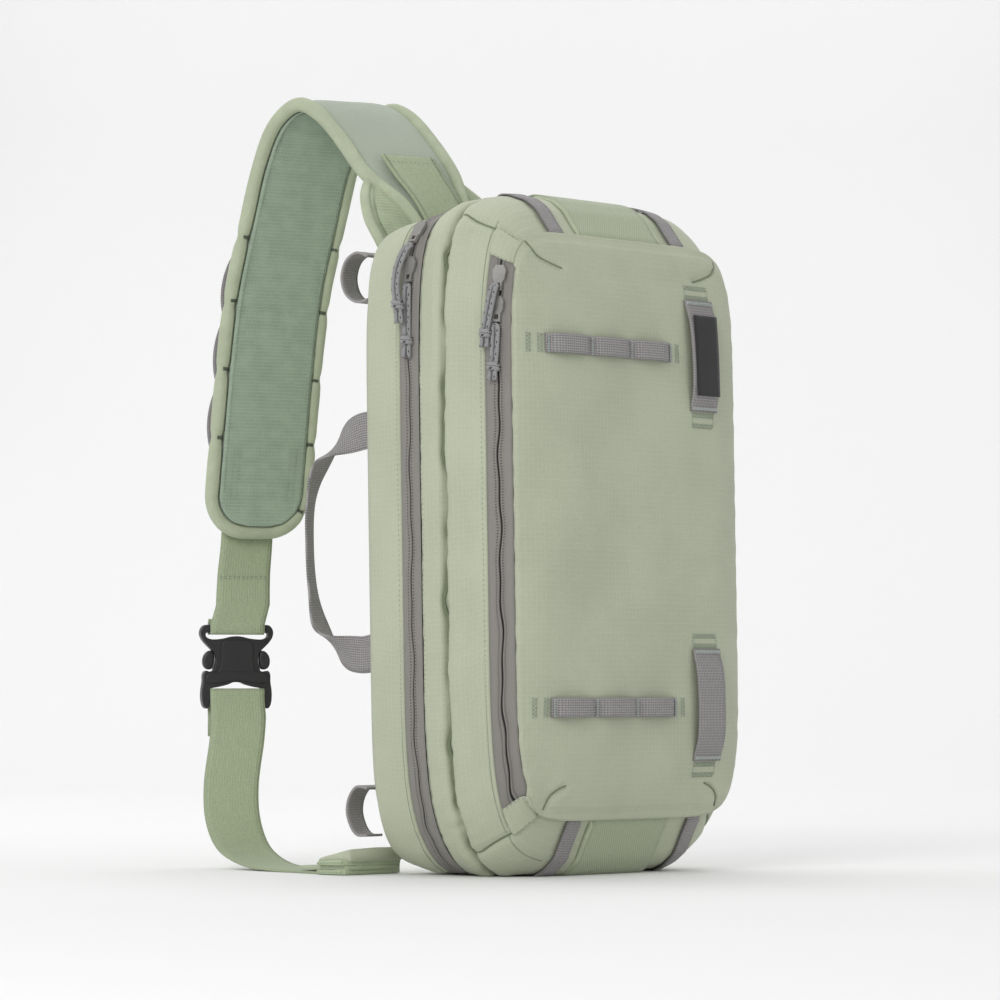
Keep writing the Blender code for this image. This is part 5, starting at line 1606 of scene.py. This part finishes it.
def build_corner_wing():
    # The "light" layer wears the brighter ripstop copy, as painted light.
    cloths = {"dark": yoke_mesh, "mesh": binding_cloth, "light": sage_painted_lit}
    lines = []
    for i, (low, high, taper, cloth) in enumerate(WING_LAYERS):
        low, high = np.array(low), np.array(high)
        low[1] += BACK_EDGE_Y
        high[1] += BACK_EDGE_Y
        soft_block(f"corner_wing_layer_{i + 1}", low, high, cloths[cloth],
                   ["corner_wing"] if i == 0 else [], taper, 81 + i)
        if cloth != "light":
            y = np.linspace(low[1] + 0.002, high[1] - 0.002, 12)
            z = low[2] + (high[2] - low[2]) * 0.5 * (1 + (taper - 1) * (y - low[1]) / (high[1] - low[1]))
            edge = np.stack([np.full(12, low[0] - 0.0001), y, z], -1)
            lines.append((edge, np.tile([-1.0, 0.0, 0.0], (12, 1))))
    join_in(stitches("corner_wing_stitches", lines, bartack_thread))
    soft_block("webbing_sleeve_cloth", (-0.128, BACK_EDGE_Y + 0.0345, 0.0026),
               (-0.086, BACK_EDGE_Y + 0.056, 0.0052), binding_cloth,
               ["webbing_sleeve"], 1.0, 82)


# Cord pulls and their knots


def build_pulls():
    for name, route in PULL_ROUTES.items():
        line = smooth_line(route, 3)
        cord = tube_piece(f"{name}_cord", line, PULL_DIAMETER / 2, pull_cord, 10)
        join_in(cord, [name])
        knot_at = (np.array(route[1]) + np.array(route[-2])) / 2
        up = unit(np.array(route[2]) + np.array(route[-3]) - np.array(route[1]) - np.array(route[-2]))
        side = unit(np.array(route[1]) - np.array(route[-2]))
        off = np.cross(side, up)
        turned = np.linspace(0, 2 * math.pi * 2.25, 46)[:, None]
        coil = (knot_at + side * np.cos(turned) * 0.0033 + off * np.sin(turned) * 0.0027
                + up * (turned / (2 * math.pi * 2.25) - 0.5) * 0.0058)
        knot = tube_piece(f"{name}_knot", coil, PULL_DIAMETER / 2 * 0.95, pull_cord, 8)
        join_in(knot)
        length = float(np.linalg.norm(np.diff(line, axis=0), axis=1).sum())


# Camera, light and floor


# The photo's camera: its focal length in pixels, the way it looks, how far off and how high
FOCAL_PIXELS = 4300
VIEW_WAY = (0.743, 0.669)
VIEW_DISTANCE = 2.9
VIEW_HEIGHT = 0.1224


def build_camera():
    lens = bpy.data.cameras.new("photo camera")
    lens.sensor_width = 36.0
    lens.lens = FOCAL_PIXELS / 1000 * 36.0
    lens.clip_end = 50.0
    camera = bpy.data.objects.new("photo camera", lens)
    bpy.context.scene.collection.objects.link(camera)
    forward = Vector((*VIEW_WAY, 0.0)).normalized()
    right = Vector((forward.y, -forward.x, 0.0))
    yaw, pitch = math.atan2(53, FOCAL_PIXELS), math.atan2(190, FOCAL_PIXELS)
    look = forward * math.cos(yaw) - right * math.sin(yaw)
    look = look * math.cos(pitch) + Vector((0.0, 0.0, 1.0)) * math.sin(pitch)
    camera.location = (-VIEW_WAY[0] * VIEW_DISTANCE, -VIEW_WAY[1] * VIEW_DISTANCE, VIEW_HEIGHT)
    camera.rotation_euler = look.to_track_quat("-Z", "Y").to_euler()
    bpy.context.scene.camera = camera
    bpy.context.scene.view_settings.view_transform = "Standard"


def build_stage():
    world = bpy.data.worlds.new("studio")
    bpy.context.scene.world = world
    world.use_nodes = True
    ground = world.node_tree.nodes["Background"]
    ground.inputs["Color"].default_value = (1.0, 1.0, 1.0, 1.0)
    ground.inputs["Strength"].default_value = 0.54
    for name, place, aim, size, power in (
            ("large soft light", (-2.8, -0.9, 1.5), (0, 0, 0.22), 1.6, 44.0),
            ("front soft light", (0.9, -2.6, 0.9), (0, 0, 0.22), 1.6, 8.0),
            ("rear soft light", (-0.4, 2.2, 1.6), (0, 0, 0.3), 1.4, 9.0),
            ("backdrop light", (1.0, 0.9, 3.4), (2.0, 1.8, 0.5), 2.4, 44.0)):
        lamp = bpy.data.lights.new(name, "AREA")
        lamp.energy = power
        lamp.size = size
        light = bpy.data.objects.new(name, lamp)
        light.location = place
        light.rotation_euler = (Vector(aim) - Vector(place)).to_track_quat("-Z", "Y").to_euler()
        bpy.context.scene.collection.objects.link(light)
    cove = [(2.2 + 0.9 * math.sin(a), 0.9 - 0.9 * math.cos(a)) for a in np.linspace(0.1, math.pi / 2, 14)]
    profile = [(-4.0, 0.0), (2.2, 0.0), *cove, (3.1, 5.0)]
    rows = [[(x, y, z) for x in (-6.0, 6.0)] for y, z in profile]
    turned = Matrix.Rotation(math.radians(-48), 3, "Z")
    rows = [[tuple(turned @ Vector(point)) for point in row] for row in rows]
    floor_paint = Finish("floor paint", roughness=0.9)
    tone = floor_paint.range(floor_paint.noise(0.8), 0.3, 0.7)
    floor_paint.set(floor_paint.blend(tone, (0.845, 0.845, 0.845), (0.86, 0.86, 0.86)))
    floor = mesh_piece("studio_floor", [point for row in rows for point in row],
                       [(2 * i, 2 * i + 1, 2 * i + 3, 2 * i + 2) for i in range(len(rows) - 1)], None,
                       floor_paint.material)


def finish_nodes():
    """Better finishes on the rigid nodes that stay."""
    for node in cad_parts.values():
        for slot in node.material_slots:
            key = slot.material.name.split(".")[0] if slot.material else ""
            if key in SLOTS:
                slot.material = SLOTS[key]


def main():
    build_camera()
    build_pulls()
    finish_nodes()
    build_gusset_cloth()
    build_pocket_gusset()
    build_zipper("main_zipper_tape", "main_zipper", MAIN_ZIP_START, MAIN_ZIP_END, MAIN_ZIP_DEPTH, ZIP_TAPE)
    build_zipper("front_zipper_tape", "front_zipper", *FRONT_ZIP_TURNS,
                 FRONT_ZIP_BACK + FRONT_ZIP_WIDTH / 2 / GUSSET_DEPTH, FRONT_ZIP_WIDTH)
    build_front_panel()
    build_back_panel()
    build_laid_pieces()
    build_front_webbing()
    build_zip_tabs()
    build_body_stitches()
    build_seams()
    build_side_pocket()
    build_shoulder_strap()
    build_strap_webbing()
    build_buckle()
    build_rear_loops()
    build_corner_wing()
    build_stage()


main()
